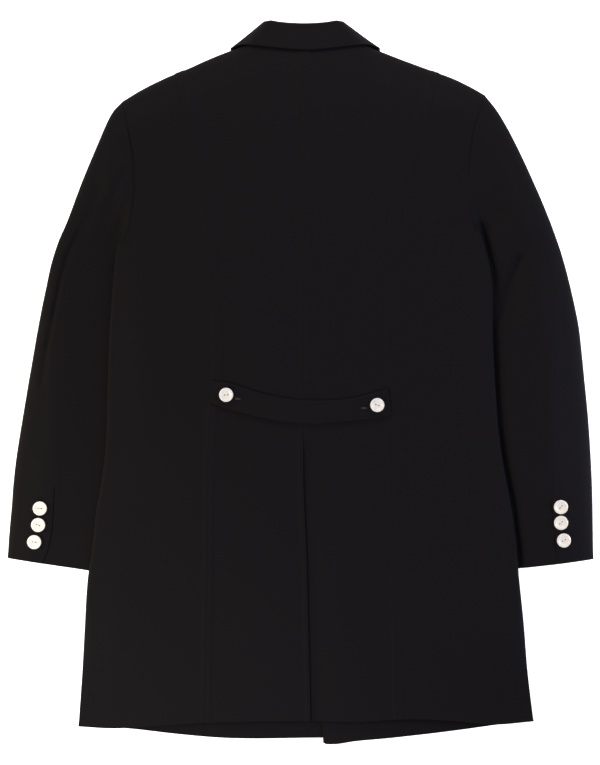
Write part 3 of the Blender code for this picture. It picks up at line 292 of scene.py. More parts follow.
ARMHOLE = {
    LEFT: line(
        (-235, 180), (-224, 190), (-218, 207), (-214, 235), (-213.5, 261), (-215, 287), (-220.6, 319),
        (-229, 362),
    ),
    RIGHT: line(
        (230.5, 197), (223, 206), (218.5, 221), (216.5, 240), (216, 270), (217.5, 300), (225, 337),
        (238, 369),
    ),
}
SHOULDER_PADS = line((-180, 335), (186, 340))
ROLL_START = 130.0  # Y at which the closing edge turns into the roll line
ROLL_END = 366.0  # and at which that turns into the neckline
CLOSING_EDGE = line((30, -470), (27, -400), (12, -150), (-5, ROLL_START))
ROLL = {
    LEFT: line((35, ROLL_START), (-24, ROLL_END)),
    RIGHT: line((-5, ROLL_START), (33, ROLL_END)),
}
NECKLINE = {
    LEFT: line((-24, ROLL_END), (-46, 398), (-62, 420), (-72, 434)),
    RIGHT: line((33, ROLL_END), (56, 398), (73, 420), (83.5, 432)),
}
SLEEVE = {
    LEFT: [
        SleeveRow(-244, 344, -232, 175, 0.56, 7.4, 8.5, 19),
        SleeveRow(-262, 303, -229, 160, 0.53, 4.6, 8.5, 20),
        SleeveRow(-281, 257, -228, 143, 0.55, 3.2, 8, 19),
        SleeveRow(-299, 209, -226, 122, 0.68, 3.2, 8, 18),
        SleeveRow(-316, 168, -223, 100, 0.80, 3.2, 8, 17),
        SleeveRow(-328, 119, -217, 74, 0.88, 3.2, 7.5, 17),
        SleeveRow(-337, 74, -213, 44, 0.85, 3.2, 7.5, 17),
        SleeveRow(-345, 28, -212, 8, 0.79, 3.2, 7.5, 17),
        SleeveRow(-353, -18, -213, -30, 0.75, 3.2, 7.5, 17),
        SleeveRow(-360.5, -66, -217, -72, 0.69, 3.2, 7, 16),
        SleeveRow(-367, -113, -222, -120, 0.64, 3.2, 7, 15.5),
        SleeveRow(-371, -160, -229, -172, 0.62, 3.2, 6.5, 15),
        SleeveRow(-374.5, -195, -236, -212, 0.61, 3.2, 6, 14),
        SleeveRow(-376.7, -225, -242, -246, 0.655, 3.2, 6, 13),
    ],
    RIGHT: [
        SleeveRow(253, 349, 227, 191, 0.56, 7.4, 8.5, 20),
        SleeveRow(269, 322, 228, 176, 0.53, 4.6, 9, 22),
        SleeveRow(287, 286, 230, 157, 0.55, 3.2, 9.5, 23),
        SleeveRow(304, 248, 230, 137, 0.66, 3.2, 10, 24),
        SleeveRow(320, 209, 229, 115, 0.76, 3.2, 10, 24),
        SleeveRow(335, 167, 222, 88, 0.83, 3.2, 10, 24),
        SleeveRow(347, 124, 217, 58, 0.84, 3.2, 10, 24),
        SleeveRow(358, 72, 215, 24, 0.78, 3.2, 10, 24),
        SleeveRow(364, 16, 216, -18, 0.73, 3.2, 10, 24),
        SleeveRow(369, -35, 219, -62, 0.69, 3.2, 10, 24),
        SleeveRow(372, -87, 225, -112, 0.655, 3.2, 10, 24),
        SleeveRow(374.3, -139, 233, -164, 0.63, 3.2, 10, 23.5),
        SleeveRow(375.5, -185, 240, -208, 0.63, 3.2, 9.5, 22.5),
        SleeveRow(376.7, -226, 247, -243, 0.64, 3.2, 9, 21),
    ],
}
COLLAR = [
    CollarRow(4, 459, 17.5, 5, 427.8, 20, 5, 437, 17, 90),
    CollarRow(-12, 459.6, 17.5, -20, 429.4, 20, -14, 437.2, 17, 90),
    CollarRow(-28, 461.2, 17.5, -45, 432.2, 20, -34, 438, 17, 90),
    CollarRow(-39, 463.2, 17.4, -65, 434.4, 19.4, -50, 438.4, 17, 82),
    CollarRow(-44.6, 462.6, 15.2, -78, 434.6, 13.6, -60, 439.6, 15.4, 60),
    CollarRow(-46.8, 461.8, 10, -88, 431.4, 8.8, -65, 440.8, 10, 25),
    CollarRow(-45.6, 457, 4.6, -90, 430.5, 1.8, -65.5, 436, 4.8, -55),
    CollarRow(-42.5, 448, 2.5, -90.5, 416, 0, -63, 427.6, 3, -90),
    CollarRow(-37, 425, 2.5, -98, 392, 0, -51, 408, 3, -90),
    CollarRow(-31, 397, 2.5, -106, 370, 0, -36, 386, 3, -90),
    CollarRow(-24.8, 369, 2.5, -107, 350, 0, -27, 373, 3, -90),
]
COLLAR_FOLD_CENTRE = 4.0  # X of the line that the collar's fold is mirrored about
COLLAR_FREE_CENTRE = 6.3  # and of its lower edge
NECK_CLEAR = 3.0  # space between the stand and the curved necklines of the fronts
LAPEL = [
    LapelRow(34, 134, 30, 133),
    LapelRow(27, 162, 8, 157),
    LapelRow(15, 210, -24, 200),
    LapelRow(3, 258, -57, 243),
    LapelRow(-9, 306, -87, 284),
    LapelRow(-18, 342, -108, 321),
    LapelRow(-23, 362, -84, 345),
]
LAPELS = {LEFT: LAPEL, RIGHT: LAPEL[2:]}  # the right one starts where the roll lines cross
COLLAR_END = line((-42, 448), (-50, 460), (-90, 430), (-98, 392), (-107, 350))  # outline of the collar's end
LAPEL_CENTRE = 6.0
OVERLAP_STEP = 2.8  # height of one front over the other where they are closed
BELT_TOP = line(
    (-113, 4), (-80, -3), (-62, -9.5), (-36, -16), (-9, -20.5), (28, -22), (66, -19), (112, -7),
)
BELT_BOTTOM = line(
    (-115.5, -25), (-97, -32), (-76, -38), (-48, -44.5), (-19, -50), (9, -52), (47, -50), (85, -46),
    (117, -41),
)
BELT_THICKNESS = 2.2
BELT_BUTTONS = {LEFT: Point(-95.1, -15), RIGHT: Point(98.5, -28.1)}
BELT_HOLES = {LEFT: Point(-80.5, -20), RIGHT: Point(81.5, -32)}
BELT_TURNS = {LEFT: 5.0, RIGHT: -20.0}  # degrees that each button's holes are turned
CUFF_TURNS = {LEFT: (0.0, -20.0, -8.0), RIGHT: (50.0, 42.0, 30.0)}
CUFF_BUTTONS = {
    LEFT: line((-334.2, -160.7), (-336.4, -181.9), (-341.5, -203.9)),
    RIGHT: line((333, -158.4), (333.3, -178.6), (337, -201.2)),
}
FRONT_BUTTONS = line((14, 112), (20, 17), (26, -78))
ELBOW_SEAM_TOP = {LEFT: 287.0, RIGHT: 297.0}  # Y at which a sleeve's seam meets the back's armhole
FRONT_SEAM_SHARE = 0.2  # where a sleeve's front seam runs on its underside, from its inner edge
LEAST_SHARE = 0.02  # least share of a sleeve's width between a seam and a fold
SEAM_CLUSTER = 1.5  # how closely a sleeve's columns crowd towards its seams
FRONT_SEAM_RISE = 32.0  # how far over the underarm a sleeve's front seam meets the front's armhole
print("points in the back's hem line:", len(BACK_HEM), "rows in a sleeve's table:", len(SLEEVE[LEFT]))

# %% [markdown]
# ## Curves
# A few small curves shape everything: an S-shaped blend, a quarter circle for folded edges, and a smooth line
# through the rows of a table.

# %% Small curves
def smooth(t):
    """0 up to t = 0 and 1 from t = 1, with an S-shaped rise between them."""
    t = np.clip(t, 0.0, 1.0)
    return t * t * (3.0 - 2.0 * t)


def near(distance, margin, fade):
    """1 within the margin, easing to 0 over the fade beyond it."""
    return 1.0 - smooth((np.asarray(distance, float) - margin) / fade)


def bell(distance, width):
    """1 at a line, falling off on both sides over about this width."""
    return np.exp(-((distance / width) ** 2))


def quarter(t):
    """Height of a quarter circle of radius 1 at t from its foot."""
    t = np.clip(t, 0.0, 1.0)
    return np.sqrt(np.maximum(0.0, 1.0 - (1.0 - t) ** 2))


def between(low, high, low_slope, high_slope, t):
    """A cubic from one value to the next with these slopes at its ends."""
    share = t * t * (3.0 - 2.0 * t)
    return low * (1.0 - share) + high * share + t * (1.0 - t) ** 2 * low_slope - t**2 * (1.0 - t) * high_slope


def through(keys, values, at):
    """A smooth curve through the values at rising keys, straight on beyond its ends."""
    keys, values, at = (np.asarray(numbers, float) for numbers in (keys, values, at))
    slopes = np.gradient(values, keys)
    i = np.clip(np.searchsorted(keys, at) - 1, 0, len(keys) - 2)
    span = keys[i + 1] - keys[i]
    t = (at - keys[i]) / span
    curve = between(values[i], values[i + 1], span * slopes[i], span * slopes[i + 1], np.clip(t, 0.0, 1.0))
    return curve + span * ((t - 1.0) * (t > 1.0) * slopes[i + 1] + t * (t < 0.0) * slopes[i])


def across(points, x):
    """Y of a line of points at x."""
    return through([p.x for p in points], [p.y for p in points], x)


def along(points, y):
    """X of a line of points at y, the points rising in y."""
    return through([p.y for p in points], [p.x for p in points], y)


def column(rows, name, y):
    """A table's column at y."""
    return through([row.y for row in rows], [getattr(row, name) for row in rows], y)


def rows_at(rows, at):
    """A table's rows at whole and broken numbers, on smooth curves through them."""
    keys = np.arange(len(rows))
    fields = [through(keys, [getattr(row, name) for row in rows], at) for name in rows[0]._fields]
    return [type(rows[0])(*map(float, values)) for values in zip(*fields)]


def angles(count):
    return np.linspace(0.0, math.pi / 2, count + 1)


def roll_distances(radius, count):
    """Distances from an edge at which a quarter round of this width is cut into equal angles."""
    return radius * (1.0 - np.cos(angles(count)))


def from_segment(x, y, start_x, start_y, end_x, end_y):
    """Distance of a place from the straight line between two points."""
    run_x, run_y = end_x - start_x, end_y - start_y
    t = ((x - start_x) * run_x + (y - start_y) * run_y) / (run_x**2 + run_y**2)
    t = np.clip(t, 0.0, 1.0)
    return np.hypot(x - start_x - t * run_x, y - start_y - t * run_y)


def outline_distance(x, y, outline):
    """Distance outside a closed outline of points, 0 inside it."""
    x, y = np.broadcast_arrays(np.asarray(x, float), np.asarray(y, float))
    best = np.full(x.shape, np.inf)
    inside = np.zeros(x.shape, bool)
    for a, b in zip(outline, outline[1:] + outline[:1]):
        best = np.minimum(best, from_segment(x, y, *a, *b))
        inside ^= ((a.y > y) != (b.y > y)) & (x < (b.x - a.x) * (y - a.y) / (b.y - a.y + TINY) + a.x)
    return np.where(inside, 0.0, best)


def crease_height(creases, x, y):
    """Height of the listed creases at a point: soft ridges, or troughs if negative, along short lines."""
    ridges, troughs = 0.0, 0.0
    for crease in creases:
        height = crease.height * bell(from_segment(x, y, *crease[:4]), crease.width)
        ridges, troughs = np.maximum(ridges, height), np.minimum(troughs, height)
    return ridges + troughs


def drift(x, y):
    """The slight unevenness of pressed cloth: a few long soft waves."""
    total = 0.0
    for wave in DRIFT:
        angle = math.radians(wave.heading)
        run = x * math.cos(angle) + y * math.sin(angle)
        total = total + wave.height * np.sin(2 * math.pi * run / wave.length + wave.phase)
    return total


print("half way across a rounded edge, its height is", round(float(quarter(0.5)), 3))

# %% [markdown]
# ## Heights of the body
# The back lies over the fronts like a flat tube. Its height comes from the shoulder pads, the hem and the
# sleeves, whose inner edges lie under the body's sides and lift them.

# %% The body's edges and heights
def side_x(side, y):
    return column(SIDES, LABELS[side], y)


def underarm(side):
    return ARMHOLE[side][0]


def outer_x(side, y):
    """The body's outer edge: its side up to the underarm, and the armhole above it."""
    return np.where(y <= underarm(side).y, side_x(side, y), along(ARMHOLE[side], y))


def tucked(side, x, y):
    """1 where the sleeve lies under the body, fading to 0 beyond its inner edge, cuff and underarm."""
    rows = SLEEVE[side][::-1]
    heights = [row.inner_y for row in rows]
    inner = through(heights, [row.inner_x for row in rows], np.clip(y, heights[0], heights[-1]))
    beyond = np.maximum(0.0, -side * (x - inner))
    below = np.maximum(0.0, heights[0] - y)
    above = np.maximum(0.0, y - underarm(side).y)
    return near(np.hypot(beyond, np.hypot(below, above)), TUCK_MARGIN, TUCK_FADE)


def edge_middle(side, x, y):
    """Height at which the back and a front meet along the body's edge."""
    return EDGE_MIDDLE + EDGE_RISE * TUCK * tucked(side, x, y)


def back_height(x, y):
    """Height of the back's outer face away from its edges."""
    height = BACK_TOP - (BACK_TOP - HEM_TOP) * near(y - across(BACK_HEM, x), 0.0, HEM_FALL)
    for pad in SHOULDER_PADS:
        height = height + PAD_RISE * near(np.hypot(x - pad.x, y - pad.y), 0.0, PAD_RADIUS)
    return height


def front_neck_x(side, y):
    """A front's roll line, and its neckline above that."""
    return np.where(y <= ROLL_END, along(ROLL[side], y), along(NECKLINE[side], y))


def front_edge_x(side, y):
    """A front's free edge. The left one runs on under the right one's closing edge."""
    edge = along(CLOSING_EDGE, y) + (FRONT_OVERLAP if side == LEFT else 0.0)
    return np.where(y <= ROLL_START, edge, front_neck_x(side, y))


def turnback_lift(side, x, y):
    """How far its lapel and the collar's end lift a front at its neck."""
    rows = LAPELS[side]
    outline = [Point(row.fold_x, row.fold_y) for row in rows] + COLLAR_END
    outline += [Point(row.edge_x, row.edge_y) for row in reversed(rows[:-1])]
    if side == RIGHT:
        outline = [Point(2 * LAPEL_CENTRE - p.x, p.y) for p in outline]
    return LAYER * near(outline_distance(x, y, outline), TURNBACK_MARGIN, TURNBACK_EASE)


def over_left_front(x, y):
    """Height of the right front and its lapel over the left front, where they lie inside it."""
    inside = near(x - front_edge_x(LEFT, y), OVERLAP_MARGIN, TURNBACK_EASE)
    closed = near(y, OVERLAP_TOP, OVERLAP_FADE)
    return inside * closed * (OVERLAP_STEP + turnback_lift(LEFT, x, y))


def front_lift(side, x, y):
    """Height of a front's outer face over the surface: what lies under it lifts it."""
    lift = np.maximum(TUCK * tucked(side, x, y), turnback_lift(side, x, y))
    for spot in FRONT_BUTTONS:
        away = near(np.hypot(x - spot.x, (y - spot.y) * BUTTON_STRETCH), BUTTON_MARGIN, BUTTON_EASE)
        lift = np.maximum(lift, (BUTTON_HEIGHT + 2 * SEAM) * away)
    return lift + over_left_front(x, y) if side == RIGHT else lift


print("height of the back in its middle:", round(float(back_height(0.0, 0.0)), 1), "mm")

# %% [markdown]
# ## Materials
# One small function adds a node. Black wool crepe takes up nearly all light, so its base is darker than it
# looks in a photo, and its shine is kept low. The weave and the uneven yarn are bumps in the cloth's UVs.

# %% Node helpers and the wool
WOOL_BLACK = "#0f0d11"
TWILL_ANGLE = 58.0
TWILL_STEP = 1.1  # distance between twill lines, mm
BANDS_PER_UNIT = 3.18  # bands that a wave texture of scale 1 has to a unit of length
YARN_STEP = 1.6
YARN_HEIGHT = 1.5  # of the yarn's unevenness, where a twill line's is 1
WEAVE_DEPTH = 0.12


def linear(code):
    """A linear colour from an sRGB hex code."""
    parts = [int(code[i : i + 2], 16) / 255 for i in (1, 3, 5)]
    return [v / 12.92 if v <= 0.04045 else ((v + 0.055) / 1.055) ** 2.4 for v in parts] + [1.0]


def add(tree, kind, links=(), **values):
    """Adds a node, sets its sockets and properties by name, and links other nodes' outputs into it."""
    node = tree.nodes.new(kind)
    for name, value in values.items():
        socket = node.inputs.get(name.replace("_", " "))
        if socket is None:
            setattr(node, name, value)
        else:
            socket.default_value = value
    for name, output in dict(links).items():
        tree.links.new(output, node.inputs[name])
    return node


def new_material(name, **sockets):
    """A material with one principled surface, whose sockets are set directly."""
    material = bpy.data.materials.new(name)
    material.use_nodes = True
    surface = material.node_tree.nodes["Principled BSDF"]
    for socket, value in sockets.items():
        surface.inputs[socket.replace("_", " ")].default_value = value
    return material, material.node_tree, surface


def add_bump(tree, surface, height, strength, depth):
    """Makes a height, given as a node's output, a relief of this depth in millimetres."""
    bump = add(tree, "ShaderNodeBump", {"Height": height}, Strength=strength, Distance=depth * METRES)
    tree.links.new(bump.outputs["Normal"], surface.inputs["Normal"])


def wool_material():
    """Black wool crepe: fine twisted yarns in a grainy weave, dull, with a faint bloom of fibres."""
    material, tree, surface = new_material(
        "black wool crepe",
        Base_Color=linear(WOOL_BLACK),
        Roughness=0.82,
        Specular_IOR_Level=0.14,
        Sheen_Weight=0.04,
        Sheen_Roughness=0.5,
        Sheen_Tint=linear("#8f8c90"),
    )
    cloth = add(tree, "ShaderNodeUVMap", uv_map="cloth").outputs["UV"]
    turn = (0.0, 0.0, math.radians(TWILL_ANGLE))
    turned = add(tree, "ShaderNodeMapping", {"Vector": cloth}, Rotation=turn).outputs["Vector"]
    twill_scale = 1.0 / (TWILL_STEP * METRES) / BANDS_PER_UNIT
    twill = add(tree, "ShaderNodeTexWave", {"Vector": turned}, Scale=twill_scale, Distortion=1.5)
    yarn = add(tree, "ShaderNodeTexNoise", {"Vector": cloth}, Scale=1.0 / (YARN_STEP * METRES), Detail=3.0)
    sources = {0: yarn.outputs["Fac"], 2: twill.outputs["Fac"]}
    height = add(tree, "ShaderNodeMath", sources, operation="MULTIPLY_ADD")
    height.inputs[1].default_value = YARN_HEIGHT
    add_bump(tree, surface, height.outputs["Value"], 0.5, WEAVE_DEPTH)
    return material


WOOL = wool_material()
print("material:", WOOL.name)

# %% [markdown]
# ## From a grid to a cloth wall
# A wall is an outer grid, an inner grid one cloth thickness below it, and a rim that joins them. Ghost points
# round a grid say which way the cloth faces at its edges, so that two walls meet without a step.

# %% Grids and walls
MADE = {}  # the pieces of cloth by name


def with_ghosts(points, last_row=None, first_column=None):
    """The grid with one more row and column all round, running straight on where none is given."""
    rows, columns = points.shape[:2]
    wide = np.empty((rows + 2, columns + 2, 3))
    wide[1:-1, 1:-1] = points
    wide[0, 1:-1] = 2 * points[0] - points[1]
    wide[-1, 1:-1] = 2 * points[-1] - points[-2] if last_row is None else last_row
    wide[1:-1, 0] = 2 * points[:, 0] - points[:, 1] if first_column is None else first_column
    wide[1:-1, -1] = 2 * points[:, -1] - points[:, -2]
    return wide


def face_directions(wide, flip):
    """Unit directions out of the cloth at each point, from its neighbours on the ghosted grid."""
    up = wide[2:, 1:-1] - wide[:-2, 1:-1]
    over = wide[1:-1, 2:] - wide[1:-1, :-2]
    out = np.cross(over, up)
    out = out / np.linalg.norm(out, axis=2, keepdims=True)
    return -out if flip else out


def arc_lengths(points, axis):
    """Distance run along a grid of points in one direction, the same for all its lines, in millimetres."""
    steps = np.linalg.norm(np.diff(points, axis=axis), axis=2).mean(axis=1 - axis)
    run = np.concatenate([[0.0], np.cumsum(steps)])
    return run[:, None] if axis == 0 else run[None, :]


def new_object(name, data, place=(0.0, 0.0, 0.0)):
    """A new object in the scene that shows this data."""
    made = bpy.data.objects.new(name, data)
    made.location = place
    bpy.context.scene.collection.objects.link(made)
    return made


def pick(*pieces):
    """Selects these pieces alone, the first as the active one."""
    bpy.ops.object.select_all(action="DESELECT")
    for piece in pieces:
        piece.select_set(True)
    bpy.context.view_layer.objects.active = pieces[0]


def wall_faces(rows, columns, flip):
    """Faces of a closed wall between an outer grid of points and an inner one listed after it."""
    index = np.arange(rows * columns).reshape(rows, columns)
    below = index + rows * columns
    faces = [
        np.stack([index[:-1, :-1], index[:-1, 1:], index[1:, 1:], index[1:, :-1]], axis=2).reshape(-1, 4),
        np.stack([below[:-1, :-1], below[1:, :-1], below[1:, 1:], below[:-1, 1:]], axis=2).reshape(-1, 4),
    ]
    for a, b, swap in (
        (index[0], below[0], True),
        (index[-1], below[-1], False),
        (index[:, 0], below[:, 0], False),
        (index[:, -1], below[:, -1], True),
    ):
        rim = np.stack([a[:-1], a[1:], b[1:], b[:-1]], axis=1)
        faces.append(rim[:, ::-1] if swap else rim)
    faces = np.concatenate(faces)
    return faces[:, ::-1] if flip else faces


def wall(name, outer, inner, flip=False):
    """One closed body between two grids of the same size, with UVs that run in metres along the cloth."""
    faces = wall_faces(*outer.shape[:2], flip)
    points = np.concatenate([outer.reshape(-1, 3), inner.reshape(-1, 3)])
    mesh = bpy.data.meshes.new(name)
    mesh.from_pydata((points * METRES).tolist(), [], faces.tolist())
    across_grid, along_grid = np.broadcast_arrays(arc_lengths(outer, 1), arc_lengths(outer, 0))
    spots = np.tile(np.stack([across_grid, along_grid], axis=2).reshape(-1, 2) * METRES, (2, 1))
    layer = mesh.uv_layers.new(name="cloth")
    layer.data.foreach_set("uv", spots[faces.reshape(-1)].ravel())
    mesh.shade_smooth()
    mesh.set_sharp_from_angle(angle=math.radians(RIM_ANGLE))
    mesh.materials.append(WOOL)
    piece = new_object(name, mesh)
    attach(piece, "root")
    MADE[name] = piece
    return piece


def thick_wall(name, wide, flip=False, relief=None, thickness=CLOTH):
    """A wall whose outer face may carry a relief, a height in millimetres at each point."""
    outer = wide[1:-1, 1:-1]
    directions = face_directions(wide, flip)
    inner = outer - thickness * directions
    if relief is not None:
        outer = outer + relief[..., None] * directions
    return wall(name, outer, inner, flip)


print("a wall of 3 by 4 points has", len(wall_faces(3, 4, False)), "faces")

# %% [markdown]
# ## Panels of the body
# A panel's rows run from its outer edge to a seam or to the free edge, its columns from the hem to the top.
# Its height rises from the rounded side and shoulder, and the relief of seams and hems lies over that.

# %% Panels of the body
def panel_rows(side, panel, seam_y):
    """Heights of a panel's rows along its outer edge: close together at the armhole's two ends."""
    start, top = underarm(side).y, ARMHOLE[side][-1].y
    slope_y = VENT_TOP - UNDERLAP_SLOPE
    hem = float(across(BACK_HEM, side_x(side, SIDES[0].y)))
    heights = list(np.linspace(hem, slope_y, VENT_ROW - SLOPE_ROWS + 1))
    heights += list(np.linspace(slope_y, VENT_TOP, SLOPE_ROWS + 1)[1:])
    heights += list(np.linspace(VENT_TOP, start, LOWER_ROWS - VENT_ROW + 1)[1:])
    heights += list(start + roll_distances(UNDERARM_ROLL, UNDERARM_ROWS)[1:])
    for goal, count in ((seam_y, panel.seam_rows), (top - panel.roll, panel.upper_rows)):
        low = heights[-1]
        heights += [low + (goal - low) * (j / count) ** ROW_GROWTH for j in range(1, count + 1)]
    heights += list(top - roll_distances(panel.roll, panel.rows)[::-1][1:])
    return np.array(heights)


def inner_heights(heights, inner_hem, inner_top, panel):
    """The same rows along the panel's other edge."""
    up_to_vent = (heights - heights[0]) / (VENT_TOP - heights[0])
    beyond = (heights - VENT_TOP) / (heights[-1] - panel.roll - VENT_TOP)
    inner = np.where(
        heights <= VENT_TOP,
        inner_hem + up_to_vent * (VENT_TOP - inner_hem),
        VENT_TOP + beyond * (inner_top - panel.roll - VENT_TOP),
    )
    inner[-panel.rows :] = inner_top - roll_distances(panel.roll, panel.rows)[::-1][1:]
    return inner


def up_to_top_line(x, y, share, panel):
    """The panel's y with its last row moved onto the top line. The others follow, less towards the hem."""
    weight = share**4
    weight[-panel.rows - 1 :] = 1.0
    return y + (across(TOP_LINE, x[-1]) - y[-1]) * weight


def side_roll_width(side, y, panel):
    """Width of a panel's rounded side edge, from the height that it makes up."""
    x = side_x(side, y)
    middle = edge_middle(side, x, y)
    if panel is BACK:
        return (QUICK_SHARE * (BACK_TOP - middle)) ** 2 / ROUNDNESS
    return np.minimum(FRONT_SIDE_ROLL, (middle - TUCK * tucked(side, x, y)) ** 2 / ROUNDNESS)


def edge_shares(side, x, y, heights, panel):
    """How far a panel has come up from its side and shoulder: quickly (roll), then gently (ease). The third
    result is 1 along the shoulder, where the top edge is rounded, and 0 at the open neck."""
    arm = underarm(side)
    around_arm = np.hypot(x - arm.x, np.maximum(0.0, heights - arm.y)[:, None])
    above = np.arange(len(heights))[:, None] > LOWER_ROWS
    distance = np.where(above, around_arm, np.abs(x - outer_x(side, heights)[:, None]))
    from_top = across(TOP_LINE, x) - y
    top_roll = quarter(from_top / panel.roll)
    top_roll[-panel.rows - 1 :] = np.sin(angles(panel.rows))[::-1][:, None]
    shoulder = smooth((np.abs(x[-1] - NECK_CENTRE) - panel.neck) / NECK_FADE)
    roll = quarter(distance / side_roll_width(side, heights, panel)[:, None])
    roll = roll * (1 - shoulder * (1 - top_roll))
    ease = smooth(distance / EDGE_EASE) * (1 - shoulder * (1 - smooth(from_top / EDGE_EASE)))
    return roll, ease, shoulder


def top_ghost(points, shoulder):
    """A ghost row beyond a panel's top: straight on at the neck, turning down and back along the shoulder."""
    ghost = 2 * points[-1] - points[-2]
    share = shoulder[:, None]
    ghost[:, :2] = share * points[-2, :, :2] + (1 - share) * ghost[:, :2]
    return ghost


def off_armhole(edge, side):
    """Level unit directions away from the body along an armhole edge, square to it."""
    run = np.gradient(edge[:, :2], axis=0)
    out = np.stack([-run[:, 1], run[:, 0], 0 * run[:, 0]], axis=1) * -side
    return out / np.linalg.norm(out, axis=1, keepdims=True)


def ghosted_panel(points, shoulder, side):
    """A panel's grid with ghosts. Its side edge and shoulder edge are rounded down to the middle."""
    first, second = points[:, 0], points[:, 1]
    side_ghost = 2 * first - second
    side_ghost[: LOWER_ROWS + 1, :2] = second[: LOWER_ROWS + 1, :2]
    arm = slice(LOWER_ROWS + 1, None)
    side_ghost[arm] = second[arm] + GHOST_STEP * off_armhole(first[LOWER_ROWS:], side)[1:]
    return with_ghosts(points, top_ghost(points, shoulder), side_ghost)


def seam_columns(width, at_start):
    """Distances across a panel, close together beside the seam at its end, and at its start if asked."""
    beside = np.array(NEAR_SEAM)
    low = beside if at_start else beside[:1]
    width = width[:, None]
    middle = np.linspace(0, 1, MIDDLE_COLUMNS + 1)[1:-1]
    inside = low[-1] + (width - low[-1] - beside[-1]) * middle
    start = np.repeat(low[None, :], len(width), axis=0)
    return np.concatenate([start, inside, width - beside[::-1]], axis=1)


def seam_edge(name, heights):
    """X and Y of a back panel's rows along one of the three seams."""
    hem = across(BACK_HEM, column(SEAM_LINES, name, SEAM_HEM_Y))
    top = across(TOP_LINE, column(SEAM_LINES, name, SEAM_TOP_Y[name]))
    inner = inner_heights(heights, hem, top, BACK)
    return column(SEAM_LINES, name, inner), inner


def back_grid(side, heights, is_side):
    """A back panel's outer face: the side panel up to its seam, or the centre panel from there."""
    start, stop = seam_edge(LABELS[side], heights), seam_edge("centre", heights)
    if is_side:
        start, stop = (outer_x(side, heights), heights), start
    width = np.hypot(stop[0] - start[0], stop[1] - start[1])
    distances = seam_columns(width, True)
    if is_side:
        roll_width = side_roll_width(side, heights, BACK)
        flat = roll_width[:, None] + seam_columns(width - roll_width, False)[:, 1:]
        distances = np.concatenate([roll_distances(roll_width[:, None], EDGE_COLUMNS), flat], axis=1)
    share = distances / width[:, None]
    x, y = (a[:, None] + share * (b - a)[:, None] for a, b in zip(start, stop))
    share = (heights[:, None] - heights[0]) / (heights[-1] - heights[0])
    y = y + (across(BACK_HEM, x[0]) - y[0]) * (1 - share) ** 3
    y = up_to_top_line(x, y, share, BACK)
    roll, ease, shoulder = edge_shares(side, x, y, heights, BACK)
    foot = edge_middle(side, x, y) + SEAM / 2
    rise = back_height(x, y) - foot
    z = foot + rise * (QUICK_SHARE * roll + (1 - QUICK_SHARE) * ease)
    return np.stack([x, y, z], axis=2), shoulder


def lower_beside_vent(points):
    """The right centre panel lies lower beside the vent, so that it can run on under the left one."""
    beside = near(np.abs(points[..., 0] - points[:, -1:, 0]), VENT_BESIDE, VENT_FADE)
    points[..., 2] -= VENT_DROP * beside * near(points[..., 1] - VENT_TOP, 0.0, VENT_SLOPE)


def underlap(points):
    """The strip of the right centre panel that lies under the left one, with a slanted top end."""
    edge = points[: VENT_ROW + 1, -1]
    width = VENT_UNDERLAP * np.clip((VENT_TOP - edge[:, 1]) / UNDERLAP_SLOPE, LEAST_LAP, 1.0)
    grid = np.repeat(edge[:, None], LAP_COLUMNS + 1, axis=1)
    grid[..., 0] -= width[:, None] * np.linspace(0.0, 1.0, LAP_COLUMNS + 1)
    return grid


def seam_relief(distance):
    """A stitched seam pressed open: a groove, and a low step where the allowance inside ends."""
    step = near(np.abs(distance), ALLOWANCE - ALLOWANCE_SOFT / 2, ALLOWANCE_SOFT)
    return ALLOWANCE_RISE * step - SEAM_GROOVE * bell(distance, GROOVE_WIDTH)


def hem_relief(kind, from_hem):
    """The thicker edge where a hem is turned up inside."""
    return HEM_RISE[kind] * near(from_hem, HEM_STITCH - HEM_SOFT / 2, HEM_SOFT)


def armhole_groove(side, points, edge):
    """Depth of the seam between a sleeve and the back beside that edge, deepest above the underarm."""
    shape = bell(np.linalg.norm(points - edge, axis=2), ARMHOLE_WIDTH)
    return ARMHOLE_GROOVE[side] * shape * smooth((edge[..., 1] - underarm(side).y) / ARMHOLE_FADE)


def back_relief(points):
    """Height of the sewn detail over the plain back: seams, hem and the cloth's own drift."""
    x, y = points[..., 0], points[..., 1]
    relief = drift(x, y) + crease_height(BACK_CREASES, x, y)
    for name in SEAM_TOP_Y:
        relief = relief + seam_relief(x - column(SEAM_LINES, name, y))
    return relief + hem_relief("body", y - across(BACK_HEM, x))


def make_back(side, label):
    """Both back panels of one side. Gives back their armhole edge."""
    heights = panel_rows(side, BACK, ELBOW_SEAM_TOP[side])
    flip = side == RIGHT
    points, shoulder = back_grid(side, heights, True)
    relief = back_relief(points) - armhole_groove(side, points, points[:, :1])
    thick_wall(f"back_side_{label}", ghosted_panel(points, shoulder, side), flip, relief)
    centre, shoulder = back_grid(side, heights, False)
    if side == RIGHT:
        lower_beside_vent(centre)
    wide = with_ghosts(centre, top_ghost(centre, shoulder))
    panel = thick_wall(f"back_centre_{label}", wide, flip, back_relief(centre))
    if side == RIGHT:
        lap = thick_wall("vent_underlap", with_ghosts(underlap(centre)), flip)
        del MADE[lap.name]
        pick(panel, lap)
        bpy.ops.object.join()
    return points[LOWER_ROWS:, 0]


